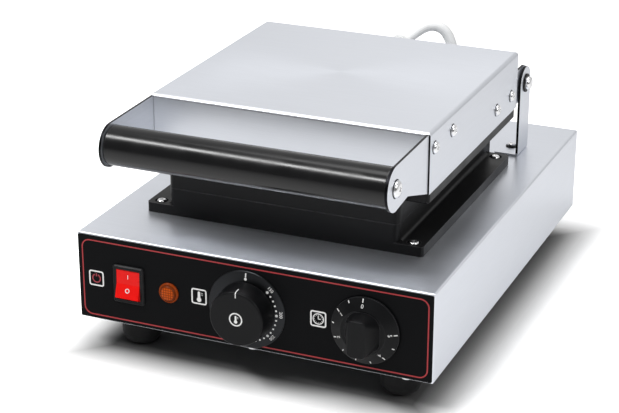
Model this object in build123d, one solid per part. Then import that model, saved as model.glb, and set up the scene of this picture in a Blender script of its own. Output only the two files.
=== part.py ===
from build123d import *
from math import hypot, radians, sqrt, tan
import os

# Countertop waffle maker with one hinged lid, in millimetres.
# +Z is up, the control panel faces -Y, and the origin is on the worktop under the middle of the machine.

# Base housing
base_width = 290.0
base_depth = 374.0
base_height = 71.0
sheet = 1.2
bend_radius = 1.5
corner_radius = 0.8
return_flange = 14.0
panel_clearance = 0.3
bottom_screw_insets = (22.0, 6.0)
side_screw_inset = 8.0
rear_screw_inset = 60.0
back_screw_insets = (14.0, 12.0)

# Feet
foot_height = 28.0
foot_top_radius = 16.4
foot_side_radius = 15.6
foot_rest_radius = 8.5
foot_bulge_height = 10.0
foot_inset_x = 35.9
foot_inset_y = 32.6
foot_bolt_radius = 2.5
foot_bolt_head_radius = 4.6
foot_bolt_recess = 9.0

# Waffle castings
casting_width = 191.0
casting_length = 223.0
casting_setback = 57.0
lower_block_height = 22.5
parting_gap = 0.3
upper_block_height = 15.2
casting_ear = 19.2
casting_flange_thickness = 8.0
casting_flange_corner = 3.0
lower_flange_length = 213.0
upper_flange_setback = 68.0
casting_corner = 5.0
casting_foot_fillet = 3.0

# Waffle beds: draughted pegs in two beds with a rib between them
bed_depth = 11.0
bed_draft = 10.0
bed_rib = 6.0
rim_wall = 3.5
channel_width = 4.0
channel_depth = 3.0
land_width = 3.0
peg_columns = 4
peg_rows = 10
peg_base = 13.6
peg_height = 8.0

# Heating: tube elements clamped to the backs of the castings
recess_side_margin = 23.5
recess_end_margin = 14.0
lower_recess_depth = 7.0
upper_recess_depth = 8.0
heater_radius = 3.25
heater_side_margin = 45.5
heater_bend = 26.0
heater_drop_bend = 9.0
heater_front_margin = 36.0
heater_rear_margin = 17.0
cold_end_length = 18.0
clamp_thickness = 1.5
clamp_margin = 3.0
clamp_rear_margin = 36.0
boss_radius = 7.0
boss_pitch = 50.0
boss_offset = 5.0
insulation_thickness = 12.0
insulation_side_margin = 11.5
shield_gap = 0.3
shield_ledge_margins = (6.0, 8.0)
shield_thickness = 0.8

# Lid
lid_setback = 67.1
lid_depth = 217.3
lid_height = 48.2
lid_bend_radius = 3.0
lid_corner_radius = 1.6
lid_return = 14.0
lid_mount_setbacks = (78.0, 104.0, 228.0, 264.0)
slot_clearance = 0.2

# Lid side plates, which carry the handle and the hinge
plate_thickness = 2.0
plate_foot_width = 14.0
foot_screw_inset = 8.0
handle_setback = 0.5
handle_rise = 75.0
handle_end_radius = 17.0
handle_plate_reach = 130.0
handle_neck = (25.0, 60.5)
handle_foot_setbacks = (71.5, 112.0)
handle_heel_rise = 18.0
handle_screw_setbacks = (77.5, 117.5)
handle_screw_rise = 80.0
ear_start = 216.0
ear_end_radius = 14.6
ear_screw_setbacks = (228.0, 266.6)
ear_screw_rise = 61.0
ear_foot_setbacks = (219.0, 274.0)
ear_notch = 8.0

# Handle
handle_radius = 15.3
handle_bore_radius = 6.0
handle_play = 0.1
handle_screw_shank = 3.0
handle_screw_length = 18.0
handle_screw_head = 6.5

# Hinge
hinge_setback = 302.4
hinge_rise = 62.0
hinge_bracket_width = 28.0
hinge_bracket_gap = 0.9
hinge_bracket_foot = 20.4
hinge_bracket_screw_inset = 11.2
hinge_bracket_screw_offset = 4.0
hinge_bracket_washer = (4.6, 0.9)
hinge_bracket_screw_head = (3.3, 2.2)
hinge_bolt_radius = 4.0
hinge_running_clearance = 0.05
hinge_washer_radius = 7.8
hinge_washer_thickness = 1.2
hinge_shim_thickness = 0.5
hinge_head_radius = 5.8
hinge_head_height = 4.0
hinge_nut_radius = 6.5
hinge_nut_length = 6.0

# Screws
screw_shank = 2.0
screw_head = 4.7
screw_head_height = 2.6
screw_reach = 8.0
casting_screw_inset = 9.5
casting_screw_setbacks = (64.0, 261.3)
casting_screw_head = 3.8
casting_counterbore = (5.4, 1.5)
nut_radius = 4.0
nut_height = 3.2

# Control panel
overlay_thickness = 0.5
overlay_side_margin = 0.6
overlay_end_margin = 0.4
overlay_corner = 1.5
control_play = 0.4

# Rocker switch
switch_inset = 44.0
switch_drop = 36.9
bezel_width = 26.2
bezel_height = 30.8
bezel_stand = 2.2
switch_cutout_width = 22.4
switch_cutout_height = 28.0
switch_depth = 24.0
rocker_width = 19.6
rocker_half_height = 11.65
rocker_pivot_depth = 3.5
rocker_end_rise = 1.6
rocker_tilt = 10.0
rocker_gap = 0.4
blade_pitches = (5.0, 8.0)
blade_size = (6.2, 0.8, 9.0)
trunnion_radius = 1.5

# Pilot light
pilot_inset = 78.0
pilot_drop = 37.4
pilot_radius = 8.1
pilot_rim = 1.6
pilot_facets = 12
pilot_stem_radius = 5.8
pilot_stem_length = 24.0

# Temperature control
thermostat_x = -2.1
thermostat_drop = 39.0
dial_ring_radius = 31.4
dial_ring_inner = 20.5
dial_ring_height = 2.6
knob_reach = 20.0
knob_back_radius = 23.0
knob_face_radius = 21.6
knob_edge = 1.6
knob_wall = 2.4
hub_radius = 6.5
shaft_radius = 3.0
shaft_running_clearance = 0.05
shaft_in_body = 12.0
shaft_flat_start = 4.0
bush_radius = 5.0
thermostat_size = (38.0, 34.0, 40.0)
thermostat_shaft_length = 14.5

# Timer control
timer_inset = 52.0
timer_drop = 37.3
timer_disc_radius = 26.5
timer_disc_gap = 1.0
timer_rim_height = 1.2
timer_cone_radius = 17.5
timer_cone_height = 4.6
timer_grip_reach = 20.5
timer_grip_face = (14.0, 29.0)
timer_grip_root = (27.0, 32.5)
timer_face_round = 3.5
timer_root_round = 12.0
timer_size = (44.0, 42.0, 46.0)
timer_shaft_length = 14.0

# Wiring
terminal_size = (46.0, 22.0, 20.0)
terminal_insets = (105.0, 70.0)
gland_inset = 50.0
gland_drop = 42.0
gland_reach = 14.0
gland_nut_radius = 10.5
gland_thread_radius = 8.0
gland_cord_radius = 4.0
gland_cord_length = 12.0
gland_throat_radius = 3.4
gland_inner_length = 9.0
conduit_radius = 4.75
conduit_clearance = 0.25
conduit_exit_x = 5.0
conduit_exit_drop = 11.2
conduit_entry_place = (44.0, 49.4)
lid_gland_radius = 9.0
lid_gland_length = 13.0
lid_gland_thread = 7.0
lid_gland_nut_length = 5.0
grommet_radius = 9.0
grommet_lip = 2.4
vent_slot_length = 26.0
vent_slot_width = 4.0
vent_pitch = 10.0
vent_count = 9

# Levels and places that follow from the sizes above
front_reach = max(knob_reach, timer_grip_reach)
y_front = (front_reach - base_depth - gland_reach) / 2
y_back = y_front + base_depth
y_face = y_front - overlay_thickness
z_bottom = foot_height
z_top = z_bottom + base_height
x_side = base_width / 2
z_part = z_top + lower_block_height
z_upper = z_part + parting_gap
z_flange = z_upper + upper_block_height
z_skirt = z_flange + casting_flange_thickness
z_lid = z_skirt + lid_height
y_casting = y_front + casting_setback
y_casting_end = y_casting + casting_length
y_casting_mid = y_casting + casting_length / 2
y_lid = y_front + lid_setback
y_lid_end = y_lid + lid_depth
x_flange = casting_width / 2 + casting_ear
x_lid = x_flange
x_plate = x_lid - sheet
y_hinge = y_front + hinge_setback
z_hinge = z_top + hinge_rise
y_handle = y_front + handle_setback
z_handle = z_top + handle_rise
x_bracket = x_plate + hinge_bracket_gap
x_foot_screw = x_plate - foot_screw_inset
x_bracket_screw = x_bracket + plate_thickness - hinge_bracket_screw_inset
y_bracket_screw = y_hinge + hinge_bracket_screw_offset
casting_screw_x = x_flange - casting_screw_inset
recess_half_width = casting_width / 2 - recess_side_margin
heater_half_span = casting_width / 2 - heater_side_margin
insulation_half_width = casting_width / 2 - insulation_side_margin
switch_x = switch_inset - x_side
pilot_x = pilot_inset - x_side
timer_x = x_side - timer_inset
gland_x = x_side - gland_inset
conduit_entry = (conduit_entry_place[0], y_lid_end + conduit_entry_place[1])
conduit_exit = (conduit_exit_x, z_lid - conduit_exit_drop)
bed_outer = casting_width / 2 - rim_wall - channel_width - land_width
bed_length = casting_length - 2 * (rim_wall + channel_width + land_width)
y_recess = y_casting + recess_end_margin
y_recess_end = y_casting_end - recess_end_margin


def block(x0, x1, y0, y1, z0, z1):
    """Rectangular block between two corners."""
    return Pos((x0 + x1) / 2, (y0 + y1) / 2, (z0 + z1) / 2) * Box(x1 - x0, y1 - y0, z1 - z0)


def slab(half_width, y0, y1, z0, z1, radius):
    """Block about X = 0 with rounded upright corners."""
    outline = RectangleRounded(2 * half_width, y1 - y0, radius)
    return Pos(0, (y0 + y1) / 2, z0) * extrude(outline, amount=z1 - z0)


def rod(start, direction, radius, length):
    """Cylinder that starts at a point and runs along a direction."""
    return extrude(Plane(origin=start, z_dir=direction) * Circle(radius), amount=length)


def tube(start, direction, outer, inner, length):
    """Round tube that starts at a point and runs along a direction."""
    section = Circle(outer) - Circle(inner)
    return extrude(Plane(origin=start, z_dir=direction) * section, amount=length)


def hex_nut(start, direction, radius, bore, length):
    """Hexagon nut that starts at a point and runs along a direction."""
    section = RegularPolygon(radius, 6) - Circle(bore)
    return extrude(Plane(origin=start, z_dir=direction) * section, amount=length)


def screw(seat, outward, shank=screw_shank, reach=screw_reach, head=screw_head, height=screw_head_height):
    """Screw whose head stands outward from its seat, with the shank on the other side."""
    top = rod(seat, outward, head, height)
    rim = top.edges().filter_by(GeomType.CIRCLE).sort_by(Axis(seat, outward))[-1]
    top = chamfer(rim, height * 0.45)
    inward = tuple(-c for c in outward)
    return top + rod(seat, inward, shank, reach)


def group(pieces):
    """Several separate solids that share one node."""
    return Compound(children=[solid for piece in pieces for solid in piece.solids()])


def both_sides(piece):
    """A piece and its mirror image on the other side of the machine."""
    return [piece, mirror(piece, about=Plane.YZ)]


def side_plate(outline, x_inner):
    """Upright plate from an outline in Y and Z, one plate thickness outward from x_inner."""
    return extrude(Plane.YZ.offset(x_inner) * outline, amount=plate_thickness)


def control_plane(x, drop):
    """Plane on the control panel's face, with its normal pointing at the user."""
    return Plane(origin=(x, y_face, z_top - drop), x_dir=(1, 0, 0), z_dir=(0, -1, 0))


def base_corner_points(inset_x, inset_y):
    """Four points on the base, inset from its corners."""
    return [
        (sx * (x_side - inset_x), y)
        for sx in (-1, 1)
        for y in (y_front + inset_y, y_back - inset_y)
    ]


foot_points = base_corner_points(foot_inset_x, foot_inset_y)
casting_screw_points = [
    (sx * casting_screw_x, y_front + setback) for sx in (-1, 1) for setback in casting_screw_setbacks
]
x_side_screw = x_side - side_screw_inset
bottom_screw_points = [
    (sx * (x_side - bottom_screw_insets[0]), y_front + bottom_screw_insets[1]) for sx in (-1, 0, 1)
]
bottom_screw_points += [(sx * x_side_screw, y) for sx in (-1, 1) for y in (0.0, y_back - rear_screw_inset)]
back_screw_points = [
    (sx * x_side_screw, z)
    for sx in (-1, 1)
    for z in (z_bottom + back_screw_insets[0], z_top - back_screw_insets[1])
]
conduit_start = Vector(conduit_exit_x, y_lid_end, z_lid - conduit_exit_drop)
conduit_steps = [
    (0.0, -6.0, 0.0),
    (0.0, 18.0, 0.0),
    (7.0, 33.4, 7.0),
    (17.0, 41.4, 12.5),
    (28.0, 45.4, 9.5),
    (35.0, 47.4, -3.0),
    (38.0, 48.4, -24.0),
]
conduit_points = [conduit_start + Vector(*step) for step in conduit_steps]
conduit_points += [Vector(*conduit_entry, z_top + 34.0), Vector(*conduit_entry, z_top - 12.0)]


def base_shell():
    """Folded steel housing: top, front and two sides, with return flanges for the other panels."""
    outer = block(-x_side, x_side, y_front, y_back, z_bottom, z_top)
    long_bends = outer.edges().filter_by(Axis.Y).group_by(Axis.Z)[-1]
    front_bend = outer.edges().filter_by(Axis.X).group_by(Axis.Z)[-1].sort_by(Axis.Y)[0]
    corners = outer.edges().filter_by(Axis.Z).group_by(Axis.Y)[0]
    outer = fillet(list(long_bends) + [front_bend], bend_radius)
    corners = [e for e in outer.edges().filter_by(Axis.Z) if e.center().Y < y_front + 1]
    outer = fillet(corners, corner_radius)
    inner = block(-x_side + sheet, x_side - sheet, y_front + sheet, y_back + 1, z_bottom - 1, z_top - sheet)
    shell = outer - inner
    low, high = z_bottom + sheet, z_bottom + 2 * sheet
    x_in, y_in = x_side - sheet, y_front + sheet
    for side in both_sides(block(x_in - return_flange, x_in, y_in, y_back - sheet, low, high)):
        shell += side
    shell += block(-x_in, x_in, y_in, y_in + return_flange, low, high)
    y_rear, y_rear_end = y_back - 2 * sheet, y_back - sheet
    for side in both_sides(block(x_in - return_flange, x_in, y_rear, y_rear_end, low, z_top - sheet)):
        shell += side
    shell -= slab(recess_half_width, y_recess, y_recess_end, z_top - 5, z_top + 1, 6)
    shell -= control_openings(y_front - 1, y_front + sheet + 1)
    for x, y in casting_screw_points:
        shell -= rod((x, y, z_top - 5), (0, 0, 1), screw_shank + slot_clearance, 10)
    for x, y in bottom_screw_points:
        shell -= rod((x, y, z_bottom), (0, 0, 1), screw_shank, 5)
    for x, z in back_screw_points:
        shell -= rod((x, y_back - 5, z), (0, 1, 0), screw_shank, 5)
    for side in both_sides(rod((x_bracket_screw, y_bracket_screw, z_top - 5), (0, 0, 1), screw_shank, 10)):
        shell -= side
    shell -= rod((*conduit_entry, z_top - 5), (0, 0, 1), grommet_radius - grommet_lip, 10)
    return shell


def control_openings(y0, y1):
    """Cutter for the openings behind the switch, the pilot light and the two shafts."""
    z_switch = z_top - switch_drop
    half_w, half_h = switch_cutout_width / 2, switch_cutout_height / 2
    cutter = block(switch_x - half_w, switch_x + half_w, y0, y1, z_switch - half_h, z_switch + half_h)
    cutter += rod((pilot_x, y0, z_top - pilot_drop), (0, 1, 0), pilot_stem_radius, y1 - y0)
    for x, drop in ((thermostat_x, thermostat_drop), (timer_x, timer_drop)):
        cutter += rod((x, y0, z_top - drop), (0, 1, 0), bush_radius, y1 - y0)
    return cutter


def control_overlay():
    """Printed film on the front of the housing, with openings for the controls."""
    half = x_side - overlay_side_margin
    film = block(-half, half, y_face, y_front, z_bottom + overlay_end_margin, z_top - bend_radius)
    film = fillet(film.edges().filter_by(Axis.Y), overlay_corner)
    return film - control_openings(y_face - 1, y_front + 1)


def back_panel():
    """Rear cover with rows of vent slots and the hole for the mains gland."""
    half = x_side - sheet - panel_clearance
    panel = block(-half, half, y_back - sheet, y_back, z_bottom, z_top - sheet - panel_clearance)
    slot = extrude(Plane.XZ * SlotOverall(vent_slot_length, vent_slot_width, rotation=90), amount=4 * sheet)
    z_mid = (z_bottom + z_top) / 2
    for index in range(vent_count):
        panel -= Pos(-100 + index * vent_pitch, y_back + sheet, z_mid) * slot
    panel -= rod((gland_x, y_back - 3, z_top - gland_drop), (0, 1, 0), gland_thread_radius, 6)
    for x, z in back_screw_points:
        panel -= rod((x, y_back - 3, z), (0, 1, 0), screw_shank + slot_clearance, 6)
    return panel


def bottom_plate():
    """Flat cover under the housing, with vent slots, carrying the four feet."""
    half = x_side - sheet - panel_clearance
    y0, y1 = y_front + sheet + panel_clearance, y_back - sheet - panel_clearance
    plate = block(-half, half, y0, y1, z_bottom, z_bottom + sheet)
    slot = extrude(SlotOverall(vent_slot_length, vent_slot_width), amount=4 * sheet)
    for index in range(vent_count):
        plate -= Pos(0, (index - vent_count // 2) * vent_pitch - 60, z_bottom - sheet) * slot
    for x, y in foot_points:
        plate -= rod((x, y, z_bottom - 1), (0, 0, 1), foot_bolt_radius, 4)
    for x, y in bottom_screw_points:
        plate -= rod((x, y, z_bottom - 1), (0, 0, 1), screw_shank + slot_clearance, 4)
    return plate


def foot(x, y):
    """Moulded rubber foot: straight side, rounded bowl, flat rest and a recess for its bolt."""
    half = Line((0, foot_height), (foot_top_radius, foot_height))
    side = Line((foot_top_radius, foot_height), (foot_side_radius, foot_bulge_height))
    bowl = ThreePointArc(
        (foot_side_radius, foot_bulge_height),
        (foot_side_radius * 0.86, foot_bulge_height * 0.3),
        (foot_rest_radius, 0),
    )
    close = Polyline((foot_rest_radius, 0), (0, 0), (0, foot_height))
    body = revolve(Plane.XZ * make_face([half, side, bowl, close]), axis=Axis.Z)
    body -= rod((0, 0, 0), (0, 0, 1), foot_bolt_head_radius + 1, foot_bolt_recess)
    body -= rod((0, 0, 0), (0, 0, 1), foot_bolt_radius, foot_height)
    return Pos(x, y, 0) * body


def foot_bolts():
    """Bolts that go up through the feet and the bottom plate, with their nuts."""
    reach = foot_height - foot_bolt_recess + sheet + nut_height + 1
    pieces = []
    for x, y in foot_points:
        seat = (x, y, foot_bolt_recess)
        pieces.append(screw(seat, (0, 0, -1), foot_bolt_radius, reach, foot_bolt_head_radius, 3.5))
        top = (x, y, z_bottom + sheet)
        pieces.append(hex_nut(top, (0, 0, 1), nut_radius + 0.8, foot_bolt_radius, nut_height))
    return group(pieces)


def bottom_screws():
    """Pan heads under the bottom plate, just behind the front edge and along the sides."""
    return group(screw((x, y, z_bottom), (0, 0, -1), reach=6.0) for x, y in bottom_screw_points)


def back_panel_screws():
    """Pan heads that hold the rear cover."""
    return group(screw((x, y_back, z), (0, 1, 0), reach=6.0) for x, z in back_screw_points)


def tapered(width, length, height, upward):
    """Rectangular frustum that narrows by the mould's draught, up or down from Z = 0."""
    solid = extrude(Rectangle(width, length), amount=height, taper=bed_draft)
    return solid if upward else Rot(180, 0, 0) * solid


def bed_cutters(z, upward):
    """The two waffle beds, cut into a casting from its parting face."""
    width = bed_outer - bed_rib / 2
    x_mid = (bed_outer + bed_rib / 2) / 2
    cutter = tapered(width, bed_length, bed_depth, upward)
    return [Pos(sx * x_mid, y_casting_mid, z) * cutter for sx in (-1, 1)]


def pegs(z, upward):
    """Pegs that stand on the floor of both beds, on an even pitch."""
    width = bed_outer - bed_rib / 2
    pitch_x = width / peg_columns
    pitch_y = bed_length / peg_rows
    peg = tapered(peg_base, peg_base, peg_height, upward)
    x_first = bed_rib / 2 + pitch_x / 2
    y_first = y_casting_mid - bed_length / 2 + pitch_y / 2
    return [
        Pos(sx * (x_first + column * pitch_x), y_first + row * pitch_y, z) * peg
        for sx in (-1, 1)
        for column in range(peg_columns)
        for row in range(peg_rows)
    ]


def boss_places():
    """Y of the bosses that take the heater clamp's screws."""
    return [y_casting_mid - boss_offset + step * boss_pitch for step in (-1, 0, 1)]


def foot_blend(y0, y1):
    """Concave strip that blends the block's side wall into its flange."""
    radius = casting_foot_fillet
    section = Rectangle(radius, radius, align=Align.MIN) - Pos(radius, radius) * Circle(radius)
    return Pos(0, y1, 0) * extrude(Plane.XZ * section, amount=y1 - y0)


def lower_casting():
    """Lower waffle plate: flanged block with two peg beds, an overflow channel and a heater recess."""
    half = casting_width / 2
    body = slab(half, y_casting, y_casting_end, z_top, z_part, casting_corner)
    flange_end = y_casting + lower_flange_length
    seat = z_top + casting_flange_thickness
    body += slab(x_flange, y_casting, flange_end, z_top, seat, casting_flange_corner)
    foot_corner = Pos(half, 0, seat)
    for side in both_sides(foot_corner * foot_blend(y_casting + casting_corner, flange_end - casting_corner)):
        body += side
    for cutter in bed_cutters(z_part, upward=False):
        body -= cutter
    groove_half = half - rim_wall
    ring = slab(
        groove_half, y_casting + rim_wall, y_casting_end - rim_wall, z_part - channel_depth, z_part + 1, 4
    )
    inset = rim_wall + channel_width
    ring -= slab(half - inset, y_casting + inset, y_casting_end - inset, z_part - channel_depth, z_part + 1, 2)
    body -= ring
    body += pegs(z_part - bed_depth, upward=True)
    body -= slab(recess_half_width, y_recess, y_recess_end, z_top - 1, z_top + lower_recess_depth, 6)
    boss_end = z_top + lower_recess_depth - 2 * heater_radius
    for y in boss_places():
        body += rod((0, y, boss_end), (0, 0, 1), boss_radius, 2 * heater_radius)
        body -= rod((0, y, boss_end), (0, 0, 1), screw_shank, 6)
    for x, y in casting_screw_points:
        body -= rod((x, y, z_top - 1), (0, 0, 1), screw_shank + slot_clearance, 12)
        body -= rod((x, y, seat), (0, 0, -1), *casting_counterbore)
    return body


def upper_casting():
    """Upper waffle plate: block and flange with two peg beds below and a heater recess above."""
    half = casting_width / 2
    body = slab(half, y_casting, y_casting_end, z_upper, z_flange, casting_corner)
    y_flange = y_front + upper_flange_setback
    flange = slab(x_flange, y_flange, y_casting_end, z_flange, z_skirt, casting_flange_corner)
    rims = flange.edges().group_by(Axis.Z)[0]
    body += chamfer(rims, 1.2)
    for cutter in bed_cutters(z_upper, upward=True):
        body -= cutter
    body += pegs(z_upper + bed_depth, upward=False)
    y0, y1 = y_flange + recess_end_margin, y_recess_end
    body -= slab(recess_half_width, y0, y1, z_skirt - upper_recess_depth, z_skirt + 1, 6)
    boss_base = z_skirt - upper_recess_depth
    for y in boss_places():
        body += rod((0, y, boss_base), (0, 0, 1), boss_radius, 2 * heater_radius)
        body -= rod((0, y, boss_base + 1.5), (0, 0, 1), screw_shank, 2 * heater_radius)
    for x, y in lid_mount_points():
        body -= rod((x, y, z_skirt - 7), (0, 0, 1), screw_shank, 8)
    return body


def heater_path(z, turn):
    """Centre line of a U-shaped tube element whose two ends turn away from the casting."""
    y_bend, y_ends = y_casting + heater_front_margin, y_recess_end - heater_rear_margin
    z_end = z + turn * cold_end_length
    corners = [
        (-heater_half_span, y_ends, z_end),
        (-heater_half_span, y_ends, z),
        (-heater_half_span, y_bend, z),
        (heater_half_span, y_bend, z),
        (heater_half_span, y_ends, z),
        (heater_half_span, y_ends, z_end),
    ]
    radii = [heater_drop_bend, heater_bend, heater_bend, heater_drop_bend]
    return FilletPolyline(*corners, radius=radii)


def sweep_tube(path, radius):
    """Round tube along a centre line."""
    return sweep(Plane(origin=path @ 0, z_dir=path % 0) * Circle(radius), path=path)


def lower_heater():
    """Tube element under the lower waffle plate."""
    return sweep_tube(heater_path(z_top + lower_recess_depth - heater_radius, -1), heater_radius)


def upper_heater():
    """Tube element on top of the upper waffle plate."""
    return sweep_tube(heater_path(z_skirt - upper_recess_depth + heater_radius, 1), heater_radius)


def heater_clamp(y0, z0):
    """Flat plate that presses a tube element onto its casting."""
    y1 = y_recess_end - clamp_rear_margin
    plate = slab(recess_half_width - clamp_margin, y0 + clamp_margin, y1, z0, z0 + clamp_thickness, 4)
    for y in boss_places():
        plate -= rod((0, y, z0 - 1), (0, 0, 1), screw_shank + slot_clearance, clamp_thickness + 2)
    return plate


def lower_heater_clamp():
    """Clamp plate of the lower element."""
    return heater_clamp(y_recess, z_top + lower_recess_depth - 2 * heater_radius - clamp_thickness)


def upper_heater_clamp():
    """Clamp plate of the upper element."""
    y0 = y_front + upper_flange_setback + recess_end_margin
    return heater_clamp(y0, z_skirt - upper_recess_depth + 2 * heater_radius)


def clamp_screws(z_seat, outward):
    """Three screws that hold a clamp plate to its casting."""
    return group(
        screw((0, y, z_seat), (0, 0, outward), reach=5.0, head=3.6, height=1.6) for y in boss_places()
    )


def lower_clamp_screws():
    """Screws of the lower clamp plate."""
    return clamp_screws(z_top + lower_recess_depth - 2 * heater_radius - clamp_thickness, -1)


def upper_clamp_screws():
    """Screws of the upper clamp plate."""
    return clamp_screws(z_skirt - upper_recess_depth + 2 * heater_radius + clamp_thickness, 1)


def insulation(y0, y1, z0):
    """Ceramic-fibre board with pockets for the clamp screws."""
    board = slab(insulation_half_width, y0, y1, z0, z0 + insulation_thickness, 3)
    for y in boss_places():
        board -= rod((0, y, z0), (0, 0, 1), 4.5, insulation_thickness)
    return board


def lower_insulation():
    """Board under the lower element, held by the heat shield."""
    y1 = y_recess_end - clamp_rear_margin
    return insulation(y_recess, y1, z_top - sheet - insulation_thickness)


def lid_insulation():
    """Board on top of the upper waffle plate."""
    y0 = y_front + upper_flange_setback + recess_end_margin
    return insulation(y0, y_recess_end - clamp_rear_margin, z_skirt)


def lower_heat_shield():
    """Tray that carries the lower board and hangs from the casting's screws."""
    z_under = z_top - sheet
    y0, y1 = y_recess, y_recess_end - clamp_rear_margin
    half = insulation_half_width + shield_gap
    depth = insulation_thickness
    tray = block(-half, half, y0, y1, z_under - depth - shield_thickness, z_under - depth)
    wall = block(half, half + shield_thickness, y0, y1, z_under - depth - shield_thickness, z_under)
    ledge_end = casting_screw_x + shield_ledge_margins[0]
    y_first = y_front + casting_screw_setbacks[0] - shield_ledge_margins[1]
    y_last = y_front + casting_screw_setbacks[1] + shield_ledge_margins[1]
    ledge = block(half, ledge_end, y_first, y_last, z_under - shield_thickness, z_under)
    for side in both_sides(wall) + both_sides(ledge):
        tray += side
    for x, y in casting_screw_points:
        tray -= rod((x, y, z_under - 3), (0, 0, 1), screw_shank + slot_clearance, 5)
    return tray


def lower_casting_screws():
    """Pan heads on the lower casting's flanges, with nuts under the heat shield's ledges."""
    depth = casting_counterbore[1]
    seat = z_top + casting_flange_thickness - depth
    reach = casting_flange_thickness - depth + sheet + shield_thickness + nut_height + 1
    under = z_top - sheet - shield_thickness
    pieces = []
    for x, y in casting_screw_points:
        pieces.append(screw((x, y, seat), (0, 0, 1), reach=reach, head=casting_screw_head))
        pieces.append(hex_nut((x, y, under), (0, 0, -1), nut_radius, screw_shank, nut_height))
    return group(pieces)


def lid_mount_points():
    """Screws through the side plates' feet and the lid's return flanges into the upper casting."""
    return [(sx * x_foot_screw, y_front + setback) for sx in (-1, 1) for setback in lid_mount_setbacks]


def lid_mount_screws():
    """Screws that join the side plates, the lid and the upper casting."""
    seat = z_skirt + sheet + plate_thickness
    return group(screw((x, y, seat), (0, 0, 1), reach=9.0) for x, y in lid_mount_points())


def lid_side_points():
    """Screws through each side wall of the lid into the side plates."""
    front = [(y_front + setback, z_top + handle_screw_rise) for setback in handle_screw_setbacks]
    rear = [(y_front + setback, z_top + ear_screw_rise) for setback in ear_screw_setbacks]
    return front + rear


def lid_shell():
    """Folded steel lid with slots for the side plates and return flanges on the casting."""
    outer = block(-x_lid, x_lid, y_lid, y_lid_end, z_skirt, z_lid)
    rims = outer.edges().group_by(Axis.Z)[-1]
    outer = fillet(rims, lid_bend_radius)
    corners = [e for e in outer.edges().filter_by(Axis.Z)]
    outer = fillet(corners, lid_corner_radius)
    inner = block(-x_plate, x_plate, y_lid + sheet, y_lid_end - sheet, z_skirt - 1, z_lid - sheet)
    shell = outer - inner
    ledge = block(
        x_plate - lid_return, x_plate, y_lid + 4, y_lid_end - 4, z_skirt, z_skirt + sheet
    )
    for side in both_sides(ledge):
        shell += side
    x_slot = x_plate - plate_thickness - slot_clearance
    handle_slot = block(x_slot, x_plate, y_lid - 1, y_lid + 3, z_skirt - 1, z_lid - sheet - slot_clearance / 2)
    ear_top = z_hinge + ear_end_radius + slot_clearance
    ear_slot = block(x_slot, x_plate, y_lid_end - 3, y_lid_end + 1, z_skirt - 1, ear_top)
    for side in both_sides(handle_slot) + both_sides(ear_slot):
        shell -= side
    for y, z in lid_side_points():
        for side in both_sides(rod((x_plate - 1, y, z), (1, 0, 0), screw_shank, 4)):
            shell -= side
    for x, y in lid_mount_points():
        shell -= rod((x, y, z_skirt - 1), (0, 0, 1), screw_shank + slot_clearance, 4)
    shell -= rod((conduit_exit[0], y_lid_end - 3, conduit_exit[1]), (0, 1, 0), lid_gland_thread, 6)
    return shell


def handle_bracket():
    """Right side plate that carries the handle, with a foot on the lid's return flange."""
    z_low = z_skirt + sheet
    z_high = z_lid - sheet - slot_clearance
    y_foot, y_foot_end = [y_front + setback for setback in handle_foot_setbacks]
    outline = Polygon(
        (y_handle, z_handle + handle_end_radius),
        (y_handle, z_handle - handle_end_radius),
        (y_front + handle_neck[0], z_top + handle_neck[1]),
        (y_lid, z_low - 0.4),
        (y_lid + sheet + 1.0, z_low),
        (y_foot_end, z_low),
        (y_front + handle_plate_reach, z_low + handle_heel_rise),
        (y_front + handle_plate_reach, z_high),
        (y_lid, z_high),
        align=None,
    )
    outline += Pos(y_handle, z_handle) * Circle(handle_end_radius)
    plate = side_plate(outline, x_plate - plate_thickness)
    plate += block(x_plate - plate_foot_width, x_plate, y_foot, y_foot_end, z_low, z_low + plate_thickness)
    for y, z in lid_side_points()[:2]:
        plate -= rod((x_plate - 4, y, z), (1, 0, 0), screw_shank, 6)
    for x, y in lid_mount_points():
        if x > 0 and y < y_foot_end:
            plate -= rod((x, y, z_low - 1), (0, 0, 1), screw_shank, 5)
    plate -= rod((x_plate - 4, y_handle, z_handle), (1, 0, 0), handle_screw_shank, 6)
    return plate


def hinge_ear():
    """Right side plate that turns on the hinge bolt, with a foot on the lid's return flange."""
    z_low = z_skirt + sheet
    outline = Polygon(
        (y_front + ear_start, z_low),
        (y_hinge, z_hinge - ear_end_radius),
        (y_hinge, z_hinge + ear_end_radius),
        (y_front + ear_start + ear_notch, z_hinge + ear_end_radius),
        (y_front + ear_start, z_hinge + ear_end_radius - ear_notch),
        align=None,
    )
    outline += Pos(y_hinge, z_hinge) * Circle(ear_end_radius)
    plate = side_plate(outline, x_plate - plate_thickness)
    y_foot, y_foot_end = [y_front + setback for setback in ear_foot_setbacks]
    plate += block(x_plate - plate_foot_width, x_plate, y_foot, y_foot_end, z_low, z_low + plate_thickness)
    for y, z in lid_side_points()[2:]:
        plate -= rod((x_plate - 4, y, z), (1, 0, 0), screw_shank, 6)
    for x, y in lid_mount_points():
        if x > 0 and y > y_foot:
            plate -= rod((x, y, z_low - 1), (0, 0, 1), screw_shank, 5)
    bore = hinge_bolt_radius + hinge_running_clearance
    plate -= rod((x_plate - 4, y_hinge, z_hinge), (1, 0, 0), bore, 6)
    return plate


def lid_side_screws():
    """Pan heads on both sides of the lid."""
    pieces = []
    for y, z in lid_side_points():
        pieces += both_sides(screw((x_lid, y, z), (1, 0, 0), reach=sheet + plate_thickness + 1))
    return group(pieces)


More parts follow.
